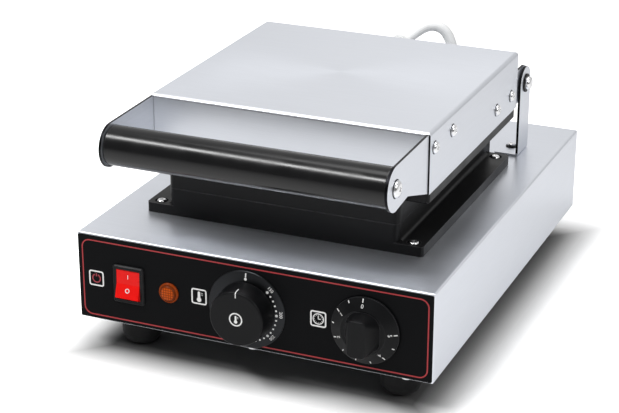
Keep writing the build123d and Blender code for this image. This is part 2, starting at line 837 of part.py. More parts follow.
def handle_tube():
    """Moulded grip between the two handle plates."""
    half = x_plate - plate_thickness - handle_play
    grip = tube((-half, y_handle, z_handle), (1, 0, 0), handle_radius, handle_bore_radius, 2 * half)
    ends = [e for e in grip.edges().filter_by(GeomType.CIRCLE) if e.radius > handle_bore_radius + 1]
    return fillet(ends, 1.5)


def handle_rod():
    """Steel core of the handle, tapped at both ends."""
    half = x_plate - plate_thickness
    core = rod((-half, y_handle, z_handle), (1, 0, 0), handle_bore_radius, 2 * half)
    for end in both_sides(rod((half - handle_screw_length, y_handle, z_handle), (1, 0, 0),
                              handle_screw_shank, handle_screw_length)):
        core -= end
    return core


def handle_screws():
    """Truss-head screws at the two ends of the handle."""
    reach = plate_thickness + handle_screw_length - 2
    piece = screw(
        (x_plate, y_handle, z_handle), (1, 0, 0), handle_screw_shank, reach, handle_screw_head, 3.2
    )
    return group(both_sides(piece))


def hinge_bracket():
    """Right upright of the hinge: rounded leg with a foot turned inward on the housing."""
    half = hinge_bracket_width / 2
    leg_outline = Polygon(
        (y_hinge - half, z_top),
        (y_hinge + half, z_top),
        (y_hinge + half, z_hinge),
        (y_hinge - half, z_hinge),
        align=None,
    )
    leg_outline += Pos(y_hinge, z_hinge) * Circle(half)
    bracket = side_plate(leg_outline, x_bracket)
    x_outer = x_bracket + plate_thickness
    bracket += block(
        x_outer - hinge_bracket_foot, x_outer, y_hinge - half, y_hinge + half, z_top, z_top + plate_thickness
    )
    bend = [
        e
        for e in bracket.edges().filter_by(Axis.Y)
        if abs(e.center().X - x_outer) < 0.01 and abs(e.center().Z - z_top) < 0.01
    ]
    bracket = fillet(bend, plate_thickness)
    bracket -= rod((x_bracket - 1, y_hinge, z_hinge), (1, 0, 0), hinge_bolt_radius, 5)
    bracket -= rod((x_bracket_screw, y_bracket_screw, z_top - 1), (0, 0, 1), screw_shank + slot_clearance, 5)
    return bracket


def hinge_bracket_screws():
    """Washer-head screws that hold the hinge brackets on the housing."""
    washer_radius, washer = hinge_bracket_washer
    head, height = hinge_bracket_screw_head
    seat = z_top + plate_thickness
    piece = screw((x_bracket_screw, y_bracket_screw, seat + washer), (0, 0, 1), head=head, height=height)
    piece += rod((x_bracket_screw, y_bracket_screw, seat), (0, 0, 1), washer_radius, washer)
    return group(both_sides(piece))


def hinge_bolt():
    """Right hinge bolt: domed head outside, plain shank through bracket, shim and ear."""
    x_seat = x_bracket + plate_thickness + hinge_washer_thickness
    dome = rod((x_seat, y_hinge, z_hinge), (1, 0, 0), hinge_head_radius, hinge_head_height)
    rim = dome.edges().filter_by(GeomType.CIRCLE).sort_by(Axis.X)[-1]
    dome = fillet(rim, hinge_head_height * 0.7)
    nut_end = x_plate - plate_thickness - slot_clearance - hinge_nut_length
    length = x_seat - nut_end + 2
    return dome + rod((x_seat, y_hinge, z_hinge), (-1, 0, 0), hinge_bolt_radius, length)


def hinge_washers():
    """Washers under the hinge bolts' heads."""
    x0 = x_bracket + plate_thickness
    piece = tube(
        (x0, y_hinge, z_hinge), (1, 0, 0), hinge_washer_radius, hinge_bolt_radius, hinge_washer_thickness
    )
    return group(both_sides(piece))


def hinge_shims():
    """Thin shims between each ear and its bracket."""
    x0 = x_plate + (hinge_bracket_gap - hinge_shim_thickness) / 2
    piece = tube(
        (x0, y_hinge, z_hinge), (1, 0, 0), hinge_washer_radius, hinge_bolt_radius, hinge_shim_thickness
    )
    return group(both_sides(piece))


def hinge_nuts():
    """Lock nuts on the inner ends of the hinge bolts."""
    x1 = x_plate - plate_thickness - slot_clearance
    piece = hex_nut((x1, y_hinge, z_hinge), (-1, 0, 0), hinge_nut_radius, hinge_bolt_radius, hinge_nut_length)
    return group(both_sides(piece))


def rocker_arc_radius():
    """Distance from the rocker's pivot to its ends, which are cylinders about the pivot."""
    return hypot(rocker_half_height, rocker_pivot_depth)


def rocker_profile(radius, front, back):
    """Half-outlines of the rocker in Y and Z about its pivot, mirrored into one face."""
    z_front = sqrt(radius**2 - front**2)
    z_back = sqrt(radius**2 - back**2)
    face_line = Polyline((-front, -z_front), (-rocker_pivot_depth, 0), (-front, z_front))
    top_arc = ThreePointArc((-front, z_front), (0, radius), (back, z_back))
    back_line = Polyline((back, z_back), (back + 4, 5), (back + 4, -5), (back, -z_back))
    low_arc = ThreePointArc((back, -z_back), (0, -radius), (-front, -z_front))
    return make_face([face_line, top_arc, back_line, low_arc])


def rocker_pivot():
    """Point on the rocker's axis."""
    return (switch_x, y_face - bezel_stand + rocker_pivot_depth, z_top - switch_drop)


def switch_body():
    """Switch housing: rounded bezel on the panel, cavity for the rocker, body and blades behind."""
    z = z_top - switch_drop
    plane = control_plane(switch_x, switch_drop)
    bezel = extrude(RectangleRounded(bezel_width, bezel_height, 2.0), amount=bezel_stand)
    rim = bezel.edges().group_by(Axis.Z)[-1]
    bezel = chamfer(rim, 0.8)
    body = plane.location * bezel
    half_w, half_h = switch_cutout_width / 2, switch_cutout_height / 2
    y_end = y_face + switch_depth
    body += block(switch_x - half_w, switch_x + half_w, y_face, y_end, z - half_h, z + half_h)
    gap_w = rocker_width / 2 + rocker_gap
    radius = rocker_arc_radius() + rocker_gap
    pivot = rocker_pivot()
    y_mouth = y_face - bezel_stand - 1
    body -= block(switch_x - gap_w, switch_x + gap_w, y_mouth, pivot[1] + 9, z - radius, z + radius)
    bore_length = gap_w + 1.0
    bore = trunnion_radius + shaft_running_clearance
    body -= rod((switch_x - bore_length, pivot[1], pivot[2]), (1, 0, 0), bore, 2 * bore_length)
    blade_width, blade, blade_length = blade_size
    for dx in (-blade_pitches[0], blade_pitches[0]):
        for dz in (-blade_pitches[1], 0.0, blade_pitches[1]):
            x, z_blade = switch_x + dx, z + dz
            body += block(
                x - blade / 2, x + blade / 2, y_end, y_end + blade_length,
                z_blade - blade_width / 2, z_blade + blade_width / 2,
            )
    return body


def switch_rocker():
    """Two-faced rocker on its trunnions, at rest with its upper end pressed in."""
    half = rocker_width / 2
    profile = rocker_profile(rocker_arc_radius(), rocker_pivot_depth + rocker_end_rise, 1.0)
    rocker = extrude(Plane.YZ.offset(-half) * profile, amount=2 * half)
    trunnion = half + rocker_gap + 0.8
    rocker += rod((-trunnion, 0, 0), (1, 0, 0), trunnion_radius, 2 * trunnion)
    return Pos(*rocker_pivot()) * Rot(-rocker_tilt, 0, 0) * rocker


def pilot_lens():
    """Faceted lens of the pilot light on a round rim."""
    rim = extrude(Circle(pilot_radius), amount=pilot_rim)
    dome = extrude(RegularPolygon(pilot_radius - 0.8, pilot_facets), amount=1.8, taper=35)
    return control_plane(pilot_x, pilot_drop).location * (rim + Pos(0, 0, pilot_rim) * dome)


def pilot_body():
    """Holder and blades of the pilot light, behind the panel."""
    z = z_top - pilot_drop
    body = rod((pilot_x, y_face, z), (0, 1, 0), pilot_stem_radius, pilot_stem_length)
    for dz in (-2.5, 2.5):
        y0 = y_face + pilot_stem_length
        body += block(pilot_x - 2, pilot_x + 2, y0, y0 + 8, z + dz - 0.4, z + dz + 0.4)
    return body


def control_body(x, drop, size):
    """Control behind the panel: case, threaded bush and a bore for the shaft."""
    width, height, depth = size
    z = z_top - drop
    y0 = y_front + sheet
    case = block(x - width / 2, x + width / 2, y0, y0 + depth, z - height / 2, z + height / 2 - 8)
    case = fillet(case.edges().filter_by(Axis.Y), 3.0)
    case += rod((x, y_face, z), (0, 1, 0), bush_radius, y0 - y_face + 1)
    bore = shaft_radius + shaft_running_clearance
    case -= rod((x, y_face - 1, z), (0, 1, 0), bore, shaft_in_body + 2)
    for dx in (-10.0, 10.0):
        y1 = y0 + depth
        case += block(x + dx - 3.1, x + dx + 3.1, y1, y1 + 9, z - 4.4, z - 3.6)
    return case


def thermostat_body():
    """Thermostat behind the panel."""
    return control_body(thermostat_x, thermostat_drop, thermostat_size)


def timer_body():
    """Timer behind the panel."""
    return control_body(timer_x, timer_drop, timer_size)


def control_shaft(x, drop, outer_length):
    """Shaft of a control, with a flat where the knob drives it."""
    z = z_top - drop
    shaft = rod((x, y_face + shaft_in_body, z), (0, -1, 0), shaft_radius, shaft_in_body + outer_length)
    y_flat = y_face - shaft_flat_start
    flat = block(x - 5, x + 5, y_face - outer_length, y_flat, z + shaft_radius * 0.55, z + 5)
    return shaft - flat


def thermostat_shaft():
    """Shaft that the temperature knob drives."""
    return control_shaft(thermostat_x, thermostat_drop, thermostat_shaft_length)


def timer_shaft():
    """Shaft that the timer knob drives."""
    return control_shaft(timer_x, timer_drop, timer_shaft_length)


def dial_ring():
    """Fixed dished ring with the temperature scale, on the panel behind the knob."""
    height = dial_ring_height
    cone = Pos(0, 0, height / 2) * Cone(dial_ring_radius, dial_ring_radius - 1.2, height)
    cone -= Pos(0, 0, height / 2) * Cylinder(dial_ring_inner, height)
    return control_plane(thermostat_x, thermostat_drop).location * cone


def shaft_socket(outer_length):
    """Cutter for the shaft in a knob, from the panel's face outward."""
    socket = Pos(0, 0, outer_length / 2) * Cylinder(shaft_radius, outer_length)
    z_mid = (outer_length + shaft_flat_start) / 2
    flat = Pos(0, 5 + shaft_radius * 0.55, z_mid) * Box(10, 10, outer_length - shaft_flat_start)
    return socket - flat


def temperature_knob():
    """Hollow round knob with a hub on the shaft, its face parallel to the panel."""
    back = dial_ring_height + control_play
    face = knob_reach - overlay_thickness
    height = face - back
    body = Cone(knob_back_radius, knob_face_radius, height)
    rim = body.edges().filter_by(GeomType.CIRCLE).sort_by(Axis.Z)[-1]
    body = Pos(0, 0, back + height / 2) * fillet(rim, knob_edge)
    depth = height - knob_wall
    hollow = Cone(knob_back_radius - knob_wall, knob_face_radius - knob_wall, depth)
    body -= Pos(0, 0, back + depth / 2) * hollow
    body += Pos(0, 0, back + (depth + 1) / 2) * Cylinder(hub_radius, depth + 1)
    body -= shaft_socket(thermostat_shaft_length)
    return control_plane(thermostat_x, thermostat_drop).location * body


def timer_knob():
    """Conical dial with an upright grip that narrows towards the user."""
    rim = extrude(Circle(timer_disc_radius), amount=timer_rim_height)
    z_cone = timer_rim_height + timer_cone_height / 2
    cone = Pos(0, 0, z_cone) * Cone(timer_disc_radius, timer_cone_radius, timer_cone_height)
    dial = Pos(0, 0, timer_disc_gap) * (rim + cone)
    z_root = timer_disc_gap + timer_rim_height + timer_cone_height - 0.2
    root = Pos(0, 0, z_root) * RectangleRounded(*timer_grip_root, timer_root_round)
    face = Pos(0, 0, timer_grip_reach - overlay_thickness) * RectangleRounded(*timer_grip_face, timer_face_round)
    grip = loft([root, face])
    grip = fillet(grip.faces().sort_by(Axis.Z)[-1].edges(), 1.0)
    knob = dial + grip - shaft_socket(timer_shaft_length)
    return control_plane(timer_x, timer_drop).location * knob


def terminal_block():
    """Ceramic terminal block on the bottom plate, with wire holes and screw wells."""
    width, depth, height = terminal_size
    x0, y0 = x_side - terminal_insets[0], y_back - terminal_insets[1]
    z0 = z_bottom + sheet
    body = block(x0, x0 + width, y0, y0 + depth, z0, z0 + height)
    for index in range(3):
        x = x0 + width * (index + 0.5) / 3
        body -= rod((x, y0 - 1, z0 + 7), (0, 1, 0), 2.8, depth + 2)
        for y in (y0 + 6, y0 + depth - 6):
            body -= rod((x, y, z0 + height + 1), (0, 0, -1), 3.0, height - 10)
    return body


def mains_gland():
    """Cord gland on the rear cover: threaded body and ribbed sealing cap with the cord's bore."""
    z = z_top - gland_drop
    cap = rod((gland_x, y_back, z), (0, 1, 0), gland_nut_radius, gland_reach)
    rim = cap.edges().filter_by(GeomType.CIRCLE).sort_by(Axis.Y)[-1]
    cap = fillet(rim, 3.0)
    body = cap + rod((gland_x, y_back, z), (0, -1, 0), gland_thread_radius, gland_inner_length)
    body -= rod((gland_x, y_back + gland_reach, z), (0, -1, 0), gland_cord_radius, gland_cord_length)
    through = gland_reach + gland_inner_length
    return body - rod((gland_x, y_back + gland_reach, z), (0, -1, 0), gland_throat_radius, through)


def mains_gland_nut():
    """Lock nut inside the rear cover."""
    z = z_top - gland_drop
    return hex_nut((gland_x, y_back - sheet, z), (0, -1, 0), gland_nut_radius + 1, gland_thread_radius, 5)


def conduit_grommet():
    """Rubber grommet in the housing's top, where the lid's conduit goes in."""
    bore = conduit_radius + conduit_clearance
    neck = grommet_radius - grommet_lip
    place = (*conduit_entry, z_top)
    ring = tube(place, (0, 0, 1), grommet_radius, bore, 2.4)
    ring += tube((*conduit_entry, z_top - sheet), (0, 0, 1), neck, bore, sheet)
    return ring + tube((*conduit_entry, z_top - sheet), (0, 0, -1), grommet_radius, bore, 2.0)


def lid_conduit_gland():
    """Ribbed gland on the lid's back wall, where the conduit goes in."""
    x, z = conduit_exit
    bore = conduit_radius + conduit_clearance
    body = tube((x, y_lid_end, z), (0, 1, 0), lid_gland_radius, bore, lid_gland_length)
    for step in (3.0, 6.0, 9.0):
        body -= tube((x, y_lid_end + step, z), (0, 1, 0), lid_gland_radius + 1, lid_gland_radius - 0.9, 1.4)
    return body + tube((x, y_lid_end, z), (0, -1, 0), lid_gland_thread, bore, sheet + lid_gland_nut_length)


def lid_gland_nut():
    """Lock nut inside the lid's back wall."""
    x, z = conduit_exit
    start = (x, y_lid_end - sheet, z)
    return hex_nut(start, (0, -1, 0), lid_gland_thread + 2, lid_gland_thread, lid_gland_nut_length)


def lid_conduit():
    """Sleeved feed that arches from the lid's back wall down into the housing."""
    radii = []
    for before, here, after in zip(conduit_points, conduit_points[1:], conduit_points[2:]):
        run_in, run_out = here - before, after - here
        half_turn = radians(run_in.get_angle(run_out)) / 2
        radii.append(0.45 * min(run_in.length, run_out.length) / tan(half_turn))
    print("conduit radii", [round(r, 1) for r in radii])
    path = FilletPolyline(*conduit_points, radius=radii)
    sleeve = sweep_tube(path, conduit_radius)
    section = Circle(conduit_radius).area
    print("conduit volume over section times length", round(sleeve.volume / (section * path.length), 4))
    return sleeve


parts = {
    "base_shell": base_shell,
    "control_overlay": control_overlay,
    "back_panel": back_panel,
    "bottom_plate": bottom_plate,
    "foot_bolts": foot_bolts,
    "bottom_screws": bottom_screws,
    "back_panel_screws": back_panel_screws,
    "lower_casting": lower_casting,
    "lower_casting_screws": lower_casting_screws,
    "lower_heater": lower_heater,
    "lower_heater_clamp": lower_heater_clamp,
    "lower_clamp_screws": lower_clamp_screws,
    "lower_insulation": lower_insulation,
    "lower_heat_shield": lower_heat_shield,
    "hinge_bracket_screws": hinge_bracket_screws,
    "hinge_washers": hinge_washers,
    "hinge_shims": hinge_shims,
    "hinge_nuts": hinge_nuts,
    "switch_body": switch_body,
    "switch_rocker": switch_rocker,
    "pilot_lens": pilot_lens,
    "pilot_body": pilot_body,
    "thermostat_body": thermostat_body,
    "thermostat_shaft": thermostat_shaft,
    "dial_ring": dial_ring,
    "temperature_knob": temperature_knob,
    "timer_body": timer_body,
    "timer_shaft": timer_shaft,
    "timer_knob": timer_knob,
    "terminal_block": terminal_block,
    "mains_gland": mains_gland,
    "mains_gland_nut": mains_gland_nut,
    "conduit_grommet": conduit_grommet,
    "lid_conduit": lid_conduit,
    "lid_conduit_gland": lid_conduit_gland,
    "lid_gland_nut": lid_gland_nut,
    "lid_shell": lid_shell,
    "upper_casting": upper_casting,
    "upper_heater": upper_heater,
    "upper_heater_clamp": upper_heater_clamp,
    "upper_clamp_screws": upper_clamp_screws,
    "lid_insulation": lid_insulation,
    "lid_mount_screws": lid_mount_screws,
    "lid_side_screws": lid_side_screws,
    "handle_tube": handle_tube,
    "handle_rod": handle_rod,
    "handle_screws": handle_screws,
}
mirrored_parts = {
    "handle_bracket": handle_bracket,
    "hinge_ear": hinge_ear,
    "hinge_bracket": hinge_bracket,
    "hinge_bolt": hinge_bolt,
}
foot_names = ["foot_front_left", "foot_rear_left", "foot_front_right", "foot_rear_right"]

os.makedirs("parts", exist_ok=True)
for name, make in parts.items():
    export_step(make(), f"parts/{name}.step")
for name, make in mirrored_parts.items():
    right, left = both_sides(make())
    export_step(right, f"parts/{name}_right.step")
    export_step(left, f"parts/{name}_left.step")
for name, (x, y) in zip(foot_names, foot_points):
    export_step(foot(x, y), f"parts/{name}.step")
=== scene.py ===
"""Looks of a countertop waffle maker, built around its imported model.

Lengths are in metres in the model's own frame: +Z is up, the control panel faces -Y and the origin
is on the worktop under the middle of the machine. A size that is in millimetres is said to be so.
"""
from __future__ import annotations

import logging
import math
from dataclasses import dataclass, field
from enum import Enum
from typing import Iterable, Sequence

import bmesh
import bpy
from mathutils import Matrix, Vector

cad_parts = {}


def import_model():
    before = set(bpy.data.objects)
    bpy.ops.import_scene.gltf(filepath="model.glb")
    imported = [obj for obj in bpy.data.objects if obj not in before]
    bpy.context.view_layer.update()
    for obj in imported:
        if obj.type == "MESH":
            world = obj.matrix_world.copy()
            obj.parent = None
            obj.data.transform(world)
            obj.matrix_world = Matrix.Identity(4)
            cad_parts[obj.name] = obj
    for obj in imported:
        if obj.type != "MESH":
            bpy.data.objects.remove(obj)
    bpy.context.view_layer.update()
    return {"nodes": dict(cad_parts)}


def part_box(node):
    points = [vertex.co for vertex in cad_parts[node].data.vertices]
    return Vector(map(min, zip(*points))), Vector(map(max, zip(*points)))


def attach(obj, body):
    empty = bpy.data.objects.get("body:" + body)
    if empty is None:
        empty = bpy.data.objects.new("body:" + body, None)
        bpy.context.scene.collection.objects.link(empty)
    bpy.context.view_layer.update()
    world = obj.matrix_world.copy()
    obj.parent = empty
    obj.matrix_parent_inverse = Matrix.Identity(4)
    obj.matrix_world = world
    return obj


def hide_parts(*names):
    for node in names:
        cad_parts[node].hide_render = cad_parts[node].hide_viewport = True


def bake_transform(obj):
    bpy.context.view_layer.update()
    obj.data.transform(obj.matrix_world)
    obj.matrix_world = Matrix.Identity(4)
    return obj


LOG = logging.getLogger("waffle_maker")
MM = 0.001
Point = tuple[float, float, float]
Colour = tuple[float, float, float]
Flat = tuple[float, float]
Seats = Sequence[tuple[Vector, Vector]]

X_AXIS = Vector((1.0, 0.0, 0.0))
Y_AXIS = Vector((0.0, 1.0, 0.0))
Z_AXIS = Vector((0.0, 0.0, 1.0))


class Body(Enum):
    """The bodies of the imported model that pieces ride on."""

    BASE = "base"
    LID = "lid"
    ROCKER = "rocker"
    TEMPERATURE = "temperature_control"
    TIMER = "timer_control"


@dataclass(frozen=True)
class Datum:
    """Planes of the base that the machine's places are measured from."""

    front: float
    top: float

    @classmethod
    def read(cls) -> "Datum":
        """Reads the base shell's box."""
        low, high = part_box("base_shell")
        return cls(low.y, high.z)

    def at(self, x: float, setback: float, rise: float) -> Vector:
        """A point, in millimetres from the middle, behind the front and over the top."""
        return Vector((x * MM, self.front + setback * MM, self.top + rise * MM))


# Node trees


class Wiring:
    """Short calls to add and join the nodes of a tree."""

    def __init__(self, tree: bpy.types.NodeTree) -> None:
        """Works on one tree."""
        self.tree = tree

    def add(self, kind: str, **settings: object) -> bpy.types.Node:
        """Adds a node and sets its properties.

        Args:
            kind: The node's type.
            **settings: Properties of the node.

        Returns:
            The new node.
        """
        node = self.tree.nodes.new(kind)
        for key, value in settings.items():
            setattr(node, key, value)
        return node

    def join(self, value: object, socket: bpy.types.NodeSocket) -> None:
        """Links an output to an input, or sets the input to a plain value.

        Args:
            value: An output socket, a number or a tuple.
            socket: The input.
        """
        if isinstance(value, bpy.types.NodeSocket):
            self.tree.links.new(value, socket)
        else:
            socket.default_value = value

    def feed(self, node: bpy.types.Node, **values: object) -> bpy.types.Node:
        """Sets or joins inputs of a node by name, with _ for a space.

        Args:
            node: The node to feed.
            **values: A number, a tuple, or an output socket for each input.

        Returns:
            The same node.
        """
        for key, value in values.items():
            self.join(value, node.inputs[key.replace("_", " ")])
        return node

    def math(self, operation: str, *values: object) -> bpy.types.NodeSocket:
        """Calculates with a Math node.

        Args:
            operation: The node's operation.
            *values: One to three numbers or output sockets.

        Returns:
            The result.
        """
        node = self.add("ShaderNodeMath", operation=operation)
        for socket, value in zip(node.inputs, values):
            self.join(value, socket)
        return node.outputs[0]

    def remap(self, value: bpy.types.NodeSocket, source: Flat, target: Flat) -> bpy.types.NodeSocket:
        """Takes a value from one range to another, and holds it inside that.

        Args:
            value: The value.
            source: Lower and upper end of its range.
            target: What these two ends become.

        Returns:
            The result.
        """
        node = self.add("ShaderNodeMapRange")
        self.feed(node, Value=value, From_Min=source[0], From_Max=source[1])
        return self.feed(node, To_Min=target[0], To_Max=target[1]).outputs["Result"]

    def spread(self, noise: bpy.types.NodeSocket, low: float = 0.0,
               high: float = 1.0) -> bpy.types.NodeSocket:
        """Noise, which mostly lies between 0.3 and 0.7, taken to a range of its own."""
        return self.remap(noise, (0.3, 0.7), (low, high))

    def parts(self, vector: bpy.types.NodeSocket) -> bpy.types.NodeOutputs:
        """The X, Y and Z of a vector."""
        return self.feed(self.add("ShaderNodeSeparateXYZ"), Vector=vector).outputs

    def geometry(self, label: str) -> bpy.types.NodeSocket:
        """One output of the surface's geometry."""
        return self.add("ShaderNodeNewGeometry").outputs[label]

    def stretched(self, place: bpy.types.NodeSocket, scale: Point) -> bpy.types.NodeSocket:
        """Scales coordinates by a different amount along each axis.

        Args:
            place: The coordinates.
            scale: The amount along X, Y and Z.

        Returns:
            The scaled coordinates.
        """
        node = self.add("ShaderNodeMapping", vector_type="TEXTURE")
        self.feed(node, Vector=place, Scale=tuple(1.0 / s for s in scale))
        return node.outputs["Vector"]

    def noise(self, place: bpy.types.NodeSocket, scale: object, detail: float = 2.0) -> bpy.types.NodeSocket:
        """Draws noise from 0 to 1.

        Args:
            place: The coordinates.
            scale: Features to a metre, as a number or an output socket.
            detail: How many finer layers it has.

        Returns:
            The noise.
        """
        node = self.add("ShaderNodeTexNoise")
        self.feed(node, Vector=place, Scale=scale, Detail=detail)
        return node.outputs["Fac"]

    def blend(self, mask: object, low: object, high: object) -> bpy.types.NodeSocket:
        """Mixes two colours.

        Args:
            mask: 0 for the first colour and 1 for the second.
            low: The first colour, as a tuple or an output socket.
            high: The second colour.

        Returns:
            The mixed colour.
        """
        node = self.add("ShaderNodeMix", data_type="RGBA")
        factor, first, second, mixed = 0, 6, 7, 2
        for index, value in ((factor, mask), (first, low), (second, high)):
            plain = isinstance(value, tuple) and len(value) == 3
            self.join((*value, 1.0) if plain else value, node.inputs[index])
        return node.outputs[mixed]


def new_group(name: str, inputs: dict[str, float | str],
              outputs: Sequence[str]) -> tuple[Wiring, bpy.types.Node, bpy.types.Node]:
    """Starts a shader node group.

    Args:
        name: The group's name.
        inputs: Default value of each float input, or "vector" for a vector input.
        outputs: The names of its float outputs.

    Returns:
        The wiring of its tree, its input node and its output node.
    """
    tree = bpy.data.node_groups.new(name, "ShaderNodeTree")
    for label, value in inputs.items():
        if value == "vector":
            tree.interface.new_socket(label, in_out="INPUT", socket_type="NodeSocketVector")
        else:
            socket = tree.interface.new_socket(label, in_out="INPUT", socket_type="NodeSocketFloat")
            socket.default_value = value
    for label in outputs:
        tree.interface.new_socket(label, in_out="OUTPUT", socket_type="NodeSocketFloat")
    return Wiring(tree), tree.nodes.new("NodeGroupInput"), tree.nodes.new("NodeGroupOutput")


# Effects that several finishes share


class Effect(Enum):
    """Shader effects, by the name of the group that makes them."""

    BRUSHED_GRAIN = "brushed_grain"
    EDGE_WEAR = "edge_wear"
    DUST = "dust"
    MOULDED_GRAIN = "moulded_grain"


class Effects:
    """The shader node groups, each built once."""

    built: dict[Effect, bpy.types.NodeTree] = {}

    @classmethod
    def get(cls, effect: Effect) -> bpy.types.NodeTree:
        """Finds the group of an effect, which is built on its first use.

        Args:
            effect: The effect.

        Returns:
            The group's tree.
        """
        if effect not in cls.built:
            cls.built[effect] = getattr(cls, effect.value)()
        return cls.built[effect]

    @staticmethod
    def brushed_grain() -> bpy.types.NodeTree:
        """Builds the scratches of brushed sheet, along X, or along Y on faces that look sideways.

        Returns:
            The group's tree.
        """
        inputs = {"Place": "vector", "Fineness": 2400.0}
        wire, source, target = new_group("brushed_grain", inputs, ("Scratches", "Clouds"))
        place, fineness = source.outputs["Place"], source.outputs["Fineness"]
        drawn_out, layers, cloud_scale, mostly = 0.012, 3.0, 9.0, 0.7
        along_x = wire.noise(wire.stretched(place, (drawn_out, 1.0, 1.0)), fineness, layers)
        along_y = wire.noise(wire.stretched(place, (1.0, drawn_out, 1.0)), fineness, layers)
        side_on = wire.math("ABSOLUTE", wire.parts(wire.geometry("True Normal"))["X"])
        mix = wire.add("ShaderNodeMix", data_type="FLOAT")
        factor, first, second = 0, 2, 3
        wire.join(wire.math("GREATER_THAN", side_on, mostly), mix.inputs[factor])
        wire.join(along_x, mix.inputs[first])
        wire.join(along_y, mix.inputs[second])
        wire.feed(target, Scratches=mix.outputs[0], Clouds=wire.noise(place, cloud_scale, layers))
        return wire.tree

    @staticmethod
    def edge_wear() -> bpy.types.NodeTree:
        """Builds a mask of the edges of a piece, broken up by noise: rubbed edges, and a painted highlight
        along them.

        Returns:
            The group's tree.
        """
        inputs = {"Place": "vector", "Width": 0.0008, "Patchiness": 0.5}
        wire, source, target = new_group("edge_wear", inputs, ("Mask",))
        bevel = wire.feed(wire.add("ShaderNodeBevel", samples=4), Radius=source.outputs["Width"])
        dot = wire.add("ShaderNodeVectorMath", operation="DOT_PRODUCT")
        wire.join(bevel.outputs["Normal"], dot.inputs[0])
        wire.join(wire.geometry("True Normal"), dot.inputs[1])
        turning, patch_scale, layers, patch_span = (0.995, 0.86), 160.0, 3.0, (0.35, 0.7)
        edge = wire.remap(dot.outputs["Value"], turning, (0.0, 1.0))
        noise = wire.noise(source.outputs["Place"], patch_scale, layers)
        patches = wire.remap(noise, patch_span, (1.0, 0.0))
        kept = wire.math("SUBTRACT", 1.0, wire.math("MULTIPLY", patches, source.outputs["Patchiness"]))
        wire.feed(target, Mask=wire.math("MULTIPLY", edge, kept))
        return wire.tree

    @staticmethod
    def dust() -> bpy.types.NodeTree:
        """Builds a mask of light dust that lies on faces that look up.

        Returns:
            The group's tree.
        """
        wire, source, target = new_group("dust", {"Place": "vector", "Amount": 0.3}, ("Mask",))
        upward, grain_scale, layers, grain_span = (0.3, 1.0), 700.0, 4.0, (0.45, 0.75)
        up = wire.remap(wire.parts(wire.geometry("Normal"))["Z"], upward, (0.0, 1.0))
        noise = wire.noise(source.outputs["Place"], grain_scale, layers)
        grains = wire.remap(noise, grain_span, (0.0, 1.0))
        lying = wire.math("MULTIPLY", up, grains)
        wire.feed(target, Mask=wire.math("MULTIPLY", lying, source.outputs["Amount"]))
        return wire.tree

    @staticmethod
    def moulded_grain() -> bpy.types.NodeTree:
        """Builds the height of a fine moulded or cast grain, and slow changes in its gloss.

        Returns:
            The group's tree.
        """
        inputs = {"Place": "vector", "Fineness": 1500.0}
        wire, source, target = new_group("moulded_grain", inputs, ("Height", "Gloss"))
        place, gloss_scale, layers = source.outputs["Place"], 45.0, 3.0
        fine = wire.noise(place, source.outputs["Fineness"])
        wire.feed(target, Height=fine, Gloss=wire.noise(place, gloss_scale, layers))
        return wire.tree


class Shader(Wiring):
    """Node tree of one material around a Principled BSDF."""

    def __init__(self, name: str, colour: Colour, roughness: float, metallic: float = 0.0) -> None:
        """Starts a material with plain values.

        Args:
            name: The material's name.
            colour: Base colour, linear.
            roughness: Roughness from 0 to 1.
            metallic: 1 for bare metal.
        """
        self.material = bpy.data.materials.new(name)
        self.material.use_nodes = True
        super().__init__(self.material.node_tree)
        self.tree.nodes.clear()
        self.output = self.add("ShaderNodeOutputMaterial")
        self.surface = self.add("ShaderNodeBsdfPrincipled")
        self.join(self.surface.outputs["BSDF"], self.output.inputs["Surface"])
        self.place = self.add("ShaderNodeTexCoord").outputs["Object"]
        self.material.diffuse_color = (*colour, 1.0)
        self.feed(self.surface, Base_Color=(*colour, 1.0), Roughness=roughness, Metallic=metallic)

    def effect(self, effect: Effect, **values: object) -> bpy.types.NodeOutputs:
        """Places a shared effect on the piece's own coordinates.

        Args:
            effect: The effect.
            **values: The effect's other inputs.

        Returns:
            The outputs of the group node.
        """
        node = self.add("ShaderNodeGroup")
        node.node_tree = Effects.get(effect)
        return self.feed(node, Place=self.place, **values).outputs

    def bump(self, height: bpy.types.NodeSocket, strength: float, distance: float) -> None:
        """Feeds a height to the surface's normal."""
        node = self.feed(self.add("ShaderNodeBump"), Height=height, Strength=strength, Distance=distance)
        self.feed(self.surface, Normal=node.outputs["Normal"])


# Finishes


def tinted(colour: Colour, share: float) -> Colour:
    """A colour at a share of its strength, no part of it over white."""
    return tuple(min(1.0, c * share) for c in colour)


